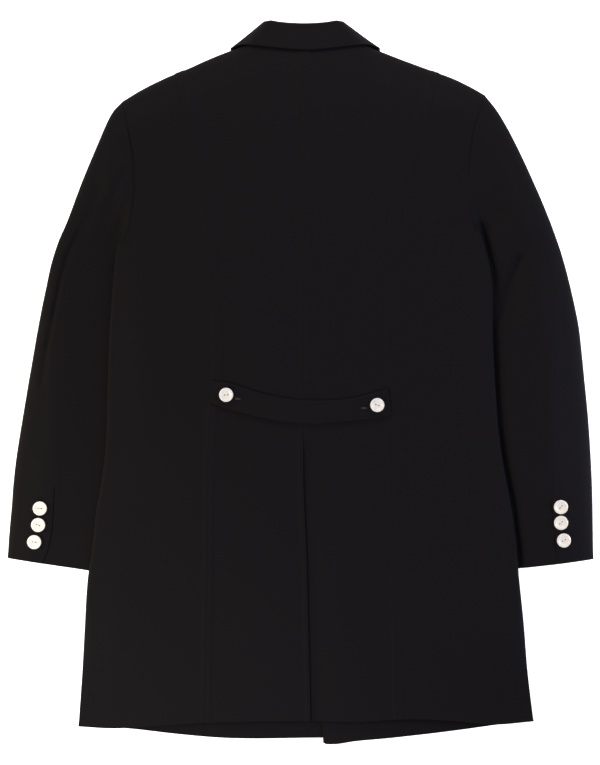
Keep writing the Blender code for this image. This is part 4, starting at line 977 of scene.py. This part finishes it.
def front_grid(side, heights):
    """A front's outer face, from its outer edge to the closing edge, roll line and neckline."""
    inner = inner_heights(heights, FRONT_EDGE_HEM, NECKLINE[side][-1].y - FRONT_NECK_DROP, FRONT)
    outer, free = outer_x(side, heights), front_edge_x(side, inner)
    strip = free + side * FRONT_OVERLAP
    width = np.abs(strip - outer)[:, None]
    roll_width = side_roll_width(side, heights, FRONT)[:, None]
    flat = np.linspace(0, 1, FRONT_COLUMNS + 1)[1:] ** FRONT_CLUSTER
    distances = [roll_distances(roll_width, EDGE_COLUMNS), roll_width + (width - roll_width) * flat]
    share = np.concatenate(distances, axis=1) / width
    over_strip = strip[:, None] + (free - strip)[:, None] * np.linspace(0, 1, STRIP_COLUMNS + 1)[1:]
    x = np.concatenate([outer[:, None] + share * (strip - outer)[:, None], over_strip], axis=1)
    level = np.repeat(inner[:, None], STRIP_COLUMNS, axis=1)
    y = np.concatenate([heights[:, None] + share * (inner - heights)[:, None], level], axis=1)
    y[0] = across(FRONT_HEM[side], x[0])
    y = up_to_top_line(x, y, (heights[:, None] - heights[0]) / (heights[-1] - heights[0]), FRONT)
    roll, _, shoulder = edge_shares(side, x, y, heights, FRONT)
    lift = front_lift(side, x, y)
    middle = np.maximum(edge_middle(side, x, y), lift) - SEAM
    z = lift + (middle - lift) * (1 - roll)
    return np.stack([x, y, z], axis=2), shoulder


def make_front(side, label):
    """A front, whose outer face lies on the floor. Gives back its armhole edge."""
    heights = panel_rows(side, FRONT, underarm(side).y + FRONT_SEAM_RISE)
    points, shoulder = front_grid(side, heights)
    relief = hem_relief("body", points[..., 1] - across(FRONT_HEM[side], points[..., 0]))
    thick_wall(f"front_{label}", ghosted_panel(points, shoulder, side), side == LEFT, relief)
    return points[LOWER_ROWS:, 0]


print("rows of a back panel:", len(panel_rows(LEFT, BACK, ELBOW_SEAM_TOP[LEFT])))

# %% [markdown]
# ## Sleeves
# A sleeve is a flattened tube of rings. The first ring is the body's armhole, the next ones leave its shape
# step by step, and the rest come from the table. The tube is then cut into an upper and an under sleeve.

# %% Sleeves
ON_TOP = np.arange(LOOP) <= TOP_COLUMNS  # which points of a ring lie on the sleeve's top


def chord_shares(edge):
    """Where the points of an armhole edge fall along its chord, and how far they stand off it."""
    chord = edge[-1, :2] - edge[0, :2]
    share = (edge[:, :2] - edge[0, :2]) @ chord / (chord @ chord)
    return share, edge[:, :2] - edge[0, :2] - share[:, None] * chord


def sleeve_shares(length, outer_roll, counts, seam):
    """Fractions across a sleeve at which its columns run: rolls at both edges, closer at the seam."""
    low, high = INNER_ROLL / length, 1 - outer_roll / length
    seam = min(max(seam, low + LEAST_SHARE), high - LEAST_SHARE)
    up_to, beyond = (np.arange(1, count + 1) / count for count in counts[1:3])
    parts = [
        roll_distances(INNER_ROLL, counts[0]) / length,
        low + (seam - low) * (1 - (1 - up_to) ** SEAM_CLUSTER),
        seam + (high - seam) * beyond**SEAM_CLUSTER,
        1 - roll_distances(outer_roll, counts[3])[::-1][1:] / length,
    ]
    return np.concatenate(parts)


def sleeve_top(side, x, y, crown):
    """Height of a sleeve's top away from its edges, as it comes up from under the body."""
    arm, rise = underarm(side), EMERGING[side]
    outside = np.where(y <= arm.y, side * (x - side_x(side, y)), np.hypot(x - arm.x, y - arm.y))
    beyond = outside - rise.start
    gentle = (1 - rise.wall) * smooth(beyond / rise.width)
    steep = rise.wall * quarter(beyond / rise.wall_width)
    return rise.low + (crown - rise.low) * (gentle + steep)


def sleeve_line(side, row, blend, edge, is_top):
    """A ring's points from a sleeve's inner to its outer edge, over its top or along its underside."""
    inner = np.array([row.inner_x, row.inner_y])
    run = np.array([row.outer_x, row.outer_y]) - inner
    length = float(np.hypot(*run))
    if is_top:
        outer_roll = min(OUTER_ROLL_TOP, (QUICK_SHARE * (row.crown - row.outer_z)) ** 2 / ROUNDNESS)
        shares = sleeve_shares(length, outer_roll, TOP_COUNTS, row.elbow)
    else:
        outer_roll = min(OUTER_ROLL_UNDER, row.outer_z**2 / ROUNDNESS)
        shares = sleeve_shares(length, outer_roll, UNDER_COUNTS, FRONT_SEAM_SHARE)
    natural, off = chord_shares(edge)
    shares = shares * blend + natural * (1 - blend)
    keep = max(0.0, 1 - STAND_OFF_FADE * blend) * smooth(shares / STAND_OFF_SHARE)
    x, y = (inner + shares[:, None] * run + off * keep[:, None]).T
    middle = row.inner_z + (row.outer_z - row.inner_z) * smooth(shares)
    from_outer = (1 - shares) * length
    goal, outer_part = 0.0, quarter(from_outer / outer_roll)
    if is_top:
        goal = np.maximum(sleeve_top(side, x, y, row.crown), middle + LEAST_CROWN)
        outer_part = QUICK_SHARE * outer_part + (1 - QUICK_SHARE) * smooth(from_outer / OUTER_EASE)
    z = middle + (goal - middle) * quarter(shares * length / INNER_ROLL) * outer_part
    return np.stack([x, y, z * blend + edge[:, 2] * (1 - blend)], axis=1)


def closed_loop(over, under):
    """One ring: over the top from the inner to the outer edge, and back along the underside."""
    return np.concatenate([over, under[-2:0:-1]])


def ring_places():
    """Where the finer rings lie among the given ones, close together at the armhole."""
    first = np.linspace(0.0, 1.0, 2 * RING_FINE + 1) ** RING_CLUSTER
    rest = np.linspace(1.0, RINGS - 1.0, (RINGS - 2) * RING_FINE + 1)[1:]
    return np.concatenate([first, rest])


def smooth_rings(rings):
    """The same tube with many rings for each one, on smooth curves through the given ones."""
    slopes = np.gradient(rings, axis=0)
    at = ring_places()
    i = np.clip(at.astype(int), 0, len(rings) - 2)
    return between(rings[i], rings[i + 1], slopes[i], slopes[i + 1], (at - i)[:, None, None])


def sleeve_rings(side, top_edge, bottom_edge):
    """A sleeve's rings from the body's armhole to the cuff, and the directions away from the body."""
    away = closed_loop(off_armhole(top_edge, side), off_armhole(bottom_edge, side))
    top_edge, bottom_edge = top_edge.copy(), bottom_edge.copy()
    for end in (0, -1):
        top_edge[end] = bottom_edge[end] = (top_edge[end] + bottom_edge[end]) / 2
    rings = [closed_loop(top_edge, bottom_edge)]
    leaving = len(LEAVING)
    at = np.concatenate([np.arange(leaving), np.linspace(leaving, len(SLEEVE[side]) - 1, SLEEVE_ROWS)])
    for row, blend in zip(rows_at(SLEEVE[side], at), LEAVING + (1.0,) * SLEEVE_ROWS):
        over = sleeve_line(side, row, blend, top_edge, True)
        rings.append(closed_loop(over, sleeve_line(side, row, blend, bottom_edge, False)))
    return smooth_rings(np.array(rings)), away


def sleeve_faces(rings, away, side):
    """Directions out of the cloth of a whole sleeve."""
    closed = np.concatenate([rings[:, -1:], rings, rings[:, :1]], axis=1)
    away = np.concatenate([away[-1:], away, away[:1]])
    before = closed[1] - GHOST_STEP * away
    after = 2 * closed[-1] - closed[-2]
    wide = np.concatenate([before[None], closed, after[None]])
    return face_directions(wide, side == RIGHT)


def sleeve_folds(side, rings):
    """Height of the drag folds and creases over the top of the plain sleeve, the whole cloth following them.
    A trough goes no deeper than the free room over the underside."""
    x, y = rings[..., 0], rings[..., 1]
    creases = crease_height(SLEEVE_CREASES[side], x, y) + drift(x, y)
    for fold in SLEEVE_FOLDS[side]:
        creases = creases + crease_height([fold], x, y)
    depth = np.maximum(-creases, 0.0)
    room = np.maximum(rings[..., 2] - 2 * CLOTH - SEAM, LEAST_ROOM)
    creases = np.maximum(creases, 0.0) - depth * room / (depth**4 + room**4) ** 0.25
    return np.where(ON_TOP, creases, 0.0) * smooth(ring_places())[:, None]


def sleeve_relief(side, rings):
    """Height of the sewn detail over a sleeve: seams, the stitch line beside the vent and the cuff's hem."""
    steps = np.linalg.norm(np.diff(rings, axis=1, prepend=rings[:, :1]), axis=2)
    around = np.cumsum(steps, axis=1)
    from_elbow, from_front = (around - around[:, at : at + 1] for at in (ELBOW_COLUMN, FRONT_SEAM_COLUMN))
    sewn = SLEEVE_SEAM_SHARE * (seam_relief(from_elbow) + seam_relief(from_front))
    vent = near(rings[..., 1] - CUFF_VENT_TOP, 0.0, CUFF_VENT_FADE)
    sewn = sewn - STITCH_DEPTH * vent * bell(from_elbow - CUFF_STITCH, GROOVE_WIDTH)
    sewn = sewn - VENT_EDGE[side] * vent * bell(from_elbow, VENT_EDGE_WIDTH)
    sewn = sewn + hem_relief("cuff", np.linalg.norm(rings - rings[-1:], axis=2))
    groove = np.where(ON_TOP, armhole_groove(side, rings, rings[:1]), 0.0)
    return sewn * smooth(ring_places())[:, None] - groove


def make_sleeve(side, label, top_edge, bottom_edge):
    """Both pieces of a sleeve. Gives back the dressed rings and the directions out of the cloth."""
    rings, away = sleeve_rings(side, top_edge, bottom_edge)
    directions = sleeve_faces(rings, away, side)
    rings = rings + sleeve_folds(side, rings)[..., None] * directions
    inner = rings - CLOTH * directions
    dressed = rings + sleeve_relief(side, rings)[..., None] * directions
    upper = list(range(ELBOW_COLUMN, FRONT_SEAM_COLUMN + 1))
    under = list(range(FRONT_SEAM_COLUMN, LOOP)) + list(range(ELBOW_COLUMN + 1))
    for part, columns in (("upper", upper), ("under", under)):
        wall(f"sleeve_{part}_{label}", dressed[:, columns], inner[:, columns], side == RIGHT)
    return dressed, directions


print("rings of a sleeve:", len(ring_places()))

# %% [markdown]
# ## Collar and lapels
# The collar's fall and both lapels are flat strips that turn over a fold of a small radius. The stand runs
# from inside the collar's fold down to the neck.

# %% Collar and lapels
def collar_rows(side):
    """The half collar's rows on this side, the right half mirrored from the left."""
    if side == LEFT:
        return COLLAR
    return [
        row._replace(
            fold_x=2 * COLLAR_FOLD_CENTRE - row.fold_x,
            free_x=2 * COLLAR_FREE_CENTRE - row.free_x,
            neck_x=2 * COLLAR_FREE_CENTRE - row.neck_x,
        )
        for row in COLLAR
    ]


def settled(row, side):
    """A collar row with its neck edge set on the back's top line, or clear of the front's neckline."""
    if row.lean >= BACK_LEAN:
        return row._replace(neck_y=float(across(TOP_LINE, row.neck_x)) + 1.5 * SEAM)
    if row.lean <= FRONT_LEAN:
        return row._replace(neck_x=float(front_neck_x(side, row.neck_y)) - side * NECK_CLEAR)
    return row


def finer(rows):
    """A table's rows with FINE rows for each one."""
    return rows_at(rows, np.linspace(0, len(rows) - 1, (len(rows) - 1) * FINE + 1))


def outward(row, side):
    """The direction that the collar's outer face looks in at a row."""
    run = np.array([row.free_x - row.fold_x, row.free_y - row.fold_y])
    run = run / np.linalg.norm(run)
    across_run = np.array([run[1], -run[0]]) * -side
    lean = math.radians(row.lean)
    return np.array([*(across_run * math.cos(lean)), math.sin(lean)])


def run_to(free, fold, look):
    """Unit direction from a fold to its free edge, square to the direction that the cloth looks in."""
    run = free - fold - look * ((free - fold) @ look)
    return run / np.linalg.norm(run)


def rolled_strip(fold, free, look):
    """A ghost point and then a row of points round a fold and flat to a free edge."""
    run = run_to(free, fold, look)
    step = math.pi / FOLD_COUNT
    row = [
        fold + ROLL_RADIUS * (math.sin(angle) * look - math.cos(angle) * run)
        for angle in np.arange(-math.pi / 2 - step, math.pi / 2 + step / 2, step)
    ]
    return row + [row[-1] + (free - row[-1]) * j / FLAT_COUNT for j in range(1, FLAT_COUNT + 1)]


def make_collar():
    """The collar's fall over its fold, and its stand inside that."""
    fall, stand = [], []
    coarse = [settled(row, RIGHT) for row in reversed(collar_rows(RIGHT))]
    centre = (len(coarse) - 1) * FINE
    coarse += [settled(row, LEFT) for row in collar_rows(LEFT)[1:]]
    for number, row in enumerate(finer(coarse)):
        fold, free, neck = np.array(row[:9]).reshape(3, 3)
        look = outward(row, RIGHT if number < centre else LEFT)
        fall.append(rolled_strip(fold, free, look))
        top = fold + look * (ROLL_RADIUS - LAYER) + run_to(free, fold, look) * 3 * SEAM
        stand.append([top + (neck - top) * t for t in np.linspace(0, 1, STAND_COLUMNS + 1)])
    fall, stand = np.array(fall), np.array(stand)
    thick_wall("collar_fall", with_ghosts(fall[:, 1:], first_column=fall[:, 0]), True)
    thick_wall("collar_stand", with_ghosts(stand[FINE:-FINE]), True)


def make_lapel(side, label):
    """A front's lapel, folded under it at the roll line."""
    points = []
    for row in finer(LAPELS[side]):
        fold_x, edge_x, fold_z, edge_z = row.fold_x + 2 * SEAM, row.edge_x, 0.0, 0.0
        if side == RIGHT:
            fold_x = float(along(ROLL[RIGHT], row.fold_y)) - 2 * SEAM
            edge_x = 2 * LAPEL_CENTRE - edge_x
            fold_z, edge_z = (float(over_left_front(x, row.fold_y)) for x in (fold_x, edge_x))
        fold = np.array([fold_x, row.fold_y, ROLL_RADIUS + fold_z])
        points.append(rolled_strip(fold, np.array([edge_x, row.edge_y, edge_z]), DOWN))
    points = np.array(points)
    thick_wall(f"lapel_{label}", with_ghosts(points[:, 1:], first_column=points[:, 0]), flip=side == RIGHT)


print("rows along the left lapel:", len(finer(LAPEL)))

# %% [markdown]
# ## Half belt
# The belt lies on the back's own height, between a curved top and a curved bottom line.

# %% Half belt
def belt_relief(grid):
    """The belt's rounded edges, and the line pressed in under its top edge."""
    x, y = grid[..., 0], grid[..., 1]
    from_top, from_bottom = across(BELT_TOP, x) - y, y - across(BELT_BOTTOM, x)
    from_end = np.minimum(x - grid[:, :1, 0], grid[:, -1:, 0] - x)
    rounded = BELT_ROUND * (1 - quarter(np.minimum(from_bottom, from_end) / BELT_ROUND_WIDTH))
    rounded = np.maximum(rounded, BELT_PRESSED * (1 - quarter(from_top / BELT_PRESSED_WIDTH)))
    return drift(x, y) - rounded - BELT_LINE_DEPTH * bell(from_top - BELT_LINE, GROOVE_WIDTH)


def make_belt():
    """The half belt, its columns crowding towards its ends."""
    even = np.linspace(0, 1, BELT_COLUMNS + 1)
    share = even - END_CLUSTER * np.sin(2 * math.pi * even) / (2 * math.pi)
    at = np.linspace(0.0, 1.0, BELT_ROWS + 1)[:, None]
    left, right = ((1 - at) * BELT_TOP[end].x + at * BELT_BOTTOM[end].x for end in (0, -1))
    x = left + share * (right - left)
    y = (1 - at) * across(BELT_TOP, x) + at * across(BELT_BOTTOM, x)
    grid = np.stack([x, y, back_height(x, y) + SEAM + BELT_THICKNESS], axis=2)
    thick_wall("half_belt", with_ghosts(grid), True, belt_relief(grid), BELT_THICKNESS)


print("width that the belt spans:", BELT_TOP[-1].x - BELT_TOP[0].x, "mm")

# %% [markdown]
# ## Making the cloth
# Everything above was a recipe. Now both halves are made, then what lies across the middle.

# %% Make the panels, sleeves, collar and belt
dressed_sleeves = {}
for side, label in LABELS.items():
    top_edge, bottom_edge = make_back(side, label), make_front(side, label)
    dressed_sleeves[side] = make_sleeve(side, label, top_edge, bottom_edge)
    make_lapel(side, label)
make_collar()
make_belt()
for name, piece in MADE.items():
    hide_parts(name)
    print(name, len(piece.data.polygons), "faces")

# %% [markdown]
# ## Buttons
# The buttons are polished white polyester: a hard gloss over a body that lets a little light in. The thread
# is dull, and its plies are a fine wave.

# %% Button and thread materials
def textured(made, kind, scale, strength, depth):
    """A new material's surface with a bump from one texture, which runs in the object's own lengths."""
    material, tree, surface = made
    place = add(tree, "ShaderNodeTexCoord")
    texture = add(tree, kind, {"Vector": place.outputs["Object"]}, Scale=scale)
    add_bump(tree, surface, texture.outputs["Fac"], strength, depth)
    return material


def button_material(name, colour, rough):
    """Polished white polyester, cast and turned."""
    made = new_material(
        name,
        Base_Color=linear(colour),
        Roughness=rough,
        Coat_Weight=0.4,
        Coat_Roughness=0.12,
        Subsurface_Weight=0.08,
        Subsurface_Radius=(0.002, 0.0018, 0.0015),
    )
    return textured(made, "ShaderNodeTexNoise", 180.0, 0.08, 0.2)


def thread_material(name, colour):
    """Twisted sewing thread."""
    made = new_material(name, Base_Color=linear(colour), Roughness=0.8, Specular_IOR_Level=0.2)
    return textured(made, "ShaderNodeTexWave", 400.0, 0.4, 0.1)


WHITE = button_material("white button", "#fffefb", 0.28)
GREY_WHITE = button_material("white button in shade", "#fffaec", 0.3)
THREAD = thread_material("button thread", "#d8cfc4")
HOLE_THREAD = thread_material("buttonhole thread", "#44403d")
print("materials:", [material.name for material in bpy.data.materials])

# %% [markdown]
# ## One button, and what sews it on
# The button is a cylinder. Its top face is inset for a rim and pushed down for a dish, its edges are bevelled
# and two holes are cut through. A stitch and a buttonhole's bars are flattened beads.

# %% Model one button
HOLE_RADIUS = 0.85
HOLE_SPACING = 4.2
RIM_WIDTH = 2.6
DISH = 1.1
EDGE_BEVEL = 0.8
BEVEL_ANGLE = 25.0
SMOOTH_ANGLE = 30.0
STITCH_WIDTH = 1.0
STITCH_HEIGHT = 0.8
HOLE_BAR_LENGTH = 8.0  # a buttonhole's two bars of stitches
HOLE_BAR_WIDTH = 1.0
HOLE_BAR_HEIGHT = 1.0
HOLE_BAR_GAP = 1.3


def cylinder(x, radius, depth, vertices):
    """A new upright cylinder, half a button's height over the floor at its middle."""
    bpy.ops.object.select_all(action="DESELECT")
    place = (x * METRES, 0, BUTTON_HEIGHT * METRES / 2)
    sizes = {"radius": radius * METRES, "depth": depth * METRES}
    bpy.ops.mesh.primitive_cylinder_add(vertices=vertices, location=place, **sizes)
    return bpy.context.object


def model_button():
    """A cylinder whose top face is inset and pushed down, with two holes cut through and soft edges."""
    button = cylinder(0, BUTTON_RADIUS, BUTTON_HEIGHT, 72)
    bpy.ops.object.transform_apply(location=True)
    pick(button)
    bpy.ops.object.mode_set(mode="EDIT")
    bpy.ops.mesh.select_mode(type="FACE")
    bpy.ops.mesh.select_all(action="DESELECT")
    bpy.ops.object.mode_set(mode="OBJECT")
    heights = [face.center.z for face in button.data.polygons]
    button.data.polygons[heights.index(max(heights))].select = True
    bpy.ops.object.mode_set(mode="EDIT")
    bpy.ops.mesh.inset(thickness=RIM_WIDTH * METRES)
    bpy.ops.mesh.inset(thickness=DISH * METRES, depth=-DISH * METRES)
    bpy.ops.object.mode_set(mode="OBJECT")
    rounded = button.modifiers.new("soft edges", "BEVEL")
    rounded.width = EDGE_BEVEL * METRES
    rounded.segments = 4
    rounded.limit_method = "ANGLE"
    rounded.angle_limit = math.radians(BEVEL_ANGLE)
    bpy.ops.object.modifier_apply(modifier=rounded.name)
    for x in (-HOLE_SPACING / 2, HOLE_SPACING / 2):
        drill = cylinder(x, HOLE_RADIUS, 3 * BUTTON_HEIGHT, 24)
        cut = button.modifiers.new("hole", "BOOLEAN")
        cut.object = drill
        cut.operation = "DIFFERENCE"
        pick(button)
        bpy.ops.object.modifier_apply(modifier=cut.name)
        bpy.data.objects.remove(drill, do_unlink=True)
    pick(button)
    bpy.ops.object.shade_smooth_by_angle(angle=math.radians(SMOOTH_ANGLE))
    return button


def bead(length, width, height, y, z):
    """A round bead of thread that lies along X."""
    bpy.ops.object.select_all(action="DESELECT")
    place = (0, y * METRES, z * METRES)
    bpy.ops.mesh.primitive_uv_sphere_add(segments=24, ring_count=12, radius=1.0, location=place)
    made = bpy.context.object
    made.scale = [size / 2 * METRES for size in (length, width, height)]
    bpy.ops.object.transform_apply(location=True, scale=True)
    bpy.ops.object.shade_smooth()
    return made


def model_buttonhole():
    """A worked buttonhole: two bars of close stitches with the cut between them."""
    sizes = (HOLE_BAR_LENGTH, HOLE_BAR_WIDTH, HOLE_BAR_HEIGHT)
    bars = [bead(*sizes, y, 0.0) for y in (-HOLE_BAR_GAP / 2, HOLE_BAR_GAP / 2)]
    pick(*bars)
    bpy.ops.object.join()
    return bars[0]


button_model = model_button()
stitch_model = bead(HOLE_SPACING, STITCH_WIDTH, STITCH_HEIGHT, 0.0, BUTTON_HEIGHT - DISH)
buttonhole_model = model_buttonhole()
print("one button:", len(button_model.data.polygons), "faces")

# %% [markdown]
# ## Setting the buttons
# Each copy has a mesh of its own, moved to its place with its axis square to the cloth. ON keeps what is sewn
# to each piece of cloth.

# %% Set the buttons on the cloth
def placed(model, name, centre, axis, turn, material):
    """A copy of the model with its own mesh, moved so that its axis runs along the given one."""
    axis = axis / np.linalg.norm(axis)
    first = np.cross((0.0, 1.0, 0.0), axis)
    first = first / np.linalg.norm(first)
    angle = math.radians(turn)
    along_holes = math.cos(angle) * first + math.sin(angle) * np.cross(axis, first)
    turned = np.stack([along_holes, np.cross(axis, along_holes), axis])
    mesh = model.data.copy()
    spots = np.empty(len(mesh.vertices) * 3)
    mesh.vertices.foreach_get("co", spots)
    spots = spots.reshape(-1, 3) @ turned + np.asarray(centre) * METRES
    mesh.vertices.foreach_set("co", spots.ravel())
    mesh.update()
    mesh.name = name
    mesh.materials.append(material)
    piece = new_object(name, mesh)
    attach(piece, "root")
    return piece


def set_button(name, centre, axis, turn=0.0, material=WHITE):
    """A button and its thread."""
    piece = placed(button_model, name, centre, axis, turn, material)
    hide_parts(name)
    return [piece, placed(stitch_model, name + "_thread", centre, axis, turn, THREAD)]


def spot_on_sleeve(side, spot):
    """The point of a sleeve's top nearest to a place in plan, and the direction out of the cloth there."""
    points, directions = (grid[:, : TOP_COLUMNS + 1].reshape(-1, 3) for grid in dressed_sleeves[side])
    nearest = np.argmin(np.hypot(points[:, 0] - spot.x, points[:, 1] - spot.y))
    return points[nearest], directions[nearest]


ON = {"half_belt": [], "sleeve_upper_left": [], "sleeve_upper_right": [], "front_left": []}
for side, label in LABELS.items():
    spot = BELT_BUTTONS[side]
    height = float(back_height(spot.x, spot.y) + drift(spot.x, spot.y)) + BELT_THICKNESS + 3 * SEAM
    ON["half_belt"] += set_button(f"belt_button_{label}", (spot.x, spot.y, height), -DOWN, BELT_TURNS[side])
    name, place = f"belt_buttonhole_{label}", (*BELT_HOLES[side], height)
    ON["half_belt"].append(placed(buttonhole_model, name, place, -DOWN, 0.0, HOLE_THREAD))
for side, label in LABELS.items():
    for number, (spot, turn) in enumerate(zip(CUFF_BUTTONS[side], CUFF_TURNS[side]), 1):
        point, out = spot_on_sleeve(side, spot)
        centre = np.array([spot.x, spot.y, point[2]]) + out * (SEAM + CUFF_BUTTON_CLEAR)
        name, material = f"cuff_button_{label}_{number}", WHITE if side == LEFT else GREY_WHITE
        ON[f"sleeve_upper_{label}"] += set_button(name, centre, out, turn, material)
for number, spot in enumerate(FRONT_BUTTONS, 1):
    ON["front_left"] += set_button(f"front_button_{number}", (spot.x, spot.y, BUTTON_HEIGHT), DOWN)
for model in (button_model, stitch_model, buttonhole_model):
    bpy.data.objects.remove(model, do_unlink=True)
print("pieces sewn on:", sum(len(pieces) for pieces in ON.values()))

# %% [markdown]
# ## What each sheet was cut from
# Each sheet of cloth is listed with the size of the piece that was cut for it, and that area is printed
# beside one layer of the piece. A panel's area is less than width times length, since it is shaped.

Cut = namedtuple("Cut", "piece width length area")
CUTS = [
    Cut("back_side_left", 0.170, 0.860, 0.109),
    Cut("back_side_right", 0.177, 0.860, 0.109),
    Cut("back_centre_left", 0.170, 0.878, 0.112),
    Cut("back_centre_right", 0.181, 0.878, 0.119),
    Cut("front_left", 0.360, 0.893, 0.247),
    Cut("front_right", 0.282, 0.901, 0.210),
    Cut("sleeve_upper_left", 0.190, 0.625, 0.079),
    Cut("sleeve_upper_right", 0.205, 0.635, 0.089),
    Cut("sleeve_under_left", 0.150, 0.510, 0.055),
    Cut("sleeve_under_right", 0.160, 0.525, 0.061),
    Cut("collar_fall", 0.330, 0.080, 0.019),
    Cut("collar_stand", 0.280, 0.032, 0.006),
    Cut("lapel_left", 0.105, 0.265, 0.0147),
    Cut("lapel_right", 0.105, 0.180, 0.0116),
    Cut("half_belt", 0.236, 0.033, 0.0075),
]
for cut in CUTS:
    piece = MADE[cut.piece]
    layer_area = sum(face.area for face in piece.data.polygons) / 2
    print(f"{cut.piece}: cut {cut.area:.4f} square metres, one layer of the piece {layer_area:.4f}")

# %% [markdown]
# ## Floor
# The floor is a white sweep, bright enough to lose its shadows as in a catalogue picture.

# %% Floor
FLOOR_SIZE = 24.0
FLOOR_DROP = 0.0014  # the floor lies this far below the cloth's lowest stitch
GLOW = 1.0
bpy.ops.object.select_all(action="DESELECT")
bpy.ops.mesh.primitive_plane_add(size=FLOOR_SIZE, location=(0, 0, -FLOOR_DROP))
floor = bpy.context.object
floor.name = "floor"
glow = {"Emission_Color": (1.0, 1.0, 1.0, 1.0), "Emission_Strength": GLOW}
sweep, _, _ = new_material("white sweep", Base_Color=linear("#f4f4f4"), Roughness=0.7, **glow)
floor.data.materials.append(sweep)
print("floor:", FLOOR_SIZE, "m wide")

# %% [markdown]
# ## Light and camera
# A soft box stands over the collar and another over the hem. A warm strip at the left and a cooler one at the
# right lie low, so that they graze the cloth and show its relief. The camera looks straight down.

# %% Lights and camera
Light = namedtuple("Light", "name x y z size_x size_y watts colour")
AIM_SHARE = 0.3  # each light looks at a point this far out towards it
LIGHTS = [
    Light("soft box over the collar", 0.0, 1.1, 0.4, 1.2, 0.3, 8.2, "#fff8ee"),
    Light("soft box over the hem", -0.35, -0.72, 0.5, 0.8, 0.3, 4.0, "#fff8f0"),
    Light("warm strip at the left", -0.9, -0.1, 0.055, 0.09, 1.3, 8.0, "#ffecc8"),
    Light("cool strip at the right", 0.95, -0.1, 0.12, 0.16, 1.3, 9.0, "#e6e6ff"),
]
for light in LIGHTS:
    lamp = bpy.data.lights.new(light.name, "AREA")
    lamp.shape = "RECTANGLE"
    lamp.size, lamp.size_y = light.size_x, light.size_y
    lamp.energy = light.watts
    lamp.color = linear(light.colour)[:3]
    holder = new_object(light.name, lamp, (light.x, light.y, light.z))
    aim = new_object(light.name + " aim", None, (light.x * AIM_SHARE, light.y * AIM_SHARE, 0.0))
    holder.constraints.new("TRACK_TO").target = aim
    print(light.name, light.watts, "W")
WORLD_LIGHT = 0.26
world = bpy.data.worlds.new("pale room")
bpy.context.scene.world = world
world.use_nodes = True
world.node_tree.nodes["Background"].inputs["Color"].default_value = linear("#e9e9ec")
world.node_tree.nodes["Background"].inputs["Strength"].default_value = WORLD_LIGHT

LENS = 109.0
SENSOR = 36.0
FRAME_HEIGHT = 0.9815  # height of the picture in the plane of the cloth, m
CAMERA_X, CAMERA_Y = -0.0005, 0.0008
CLOTH_PLANE = 0.015
camera_data = bpy.data.cameras.new("camera over the floor")
camera_data.lens = LENS
camera_data.sensor_width = SENSOR
camera_data.clip_start = 0.1
camera_data.clip_end = 20.0
camera_z = FRAME_HEIGHT * LENS / SENSOR + CLOTH_PLANE
camera = new_object("camera over the floor", camera_data, (CAMERA_X, CAMERA_Y, camera_z))
bpy.context.scene.camera = camera
bpy.context.scene.view_settings.view_transform = "Standard"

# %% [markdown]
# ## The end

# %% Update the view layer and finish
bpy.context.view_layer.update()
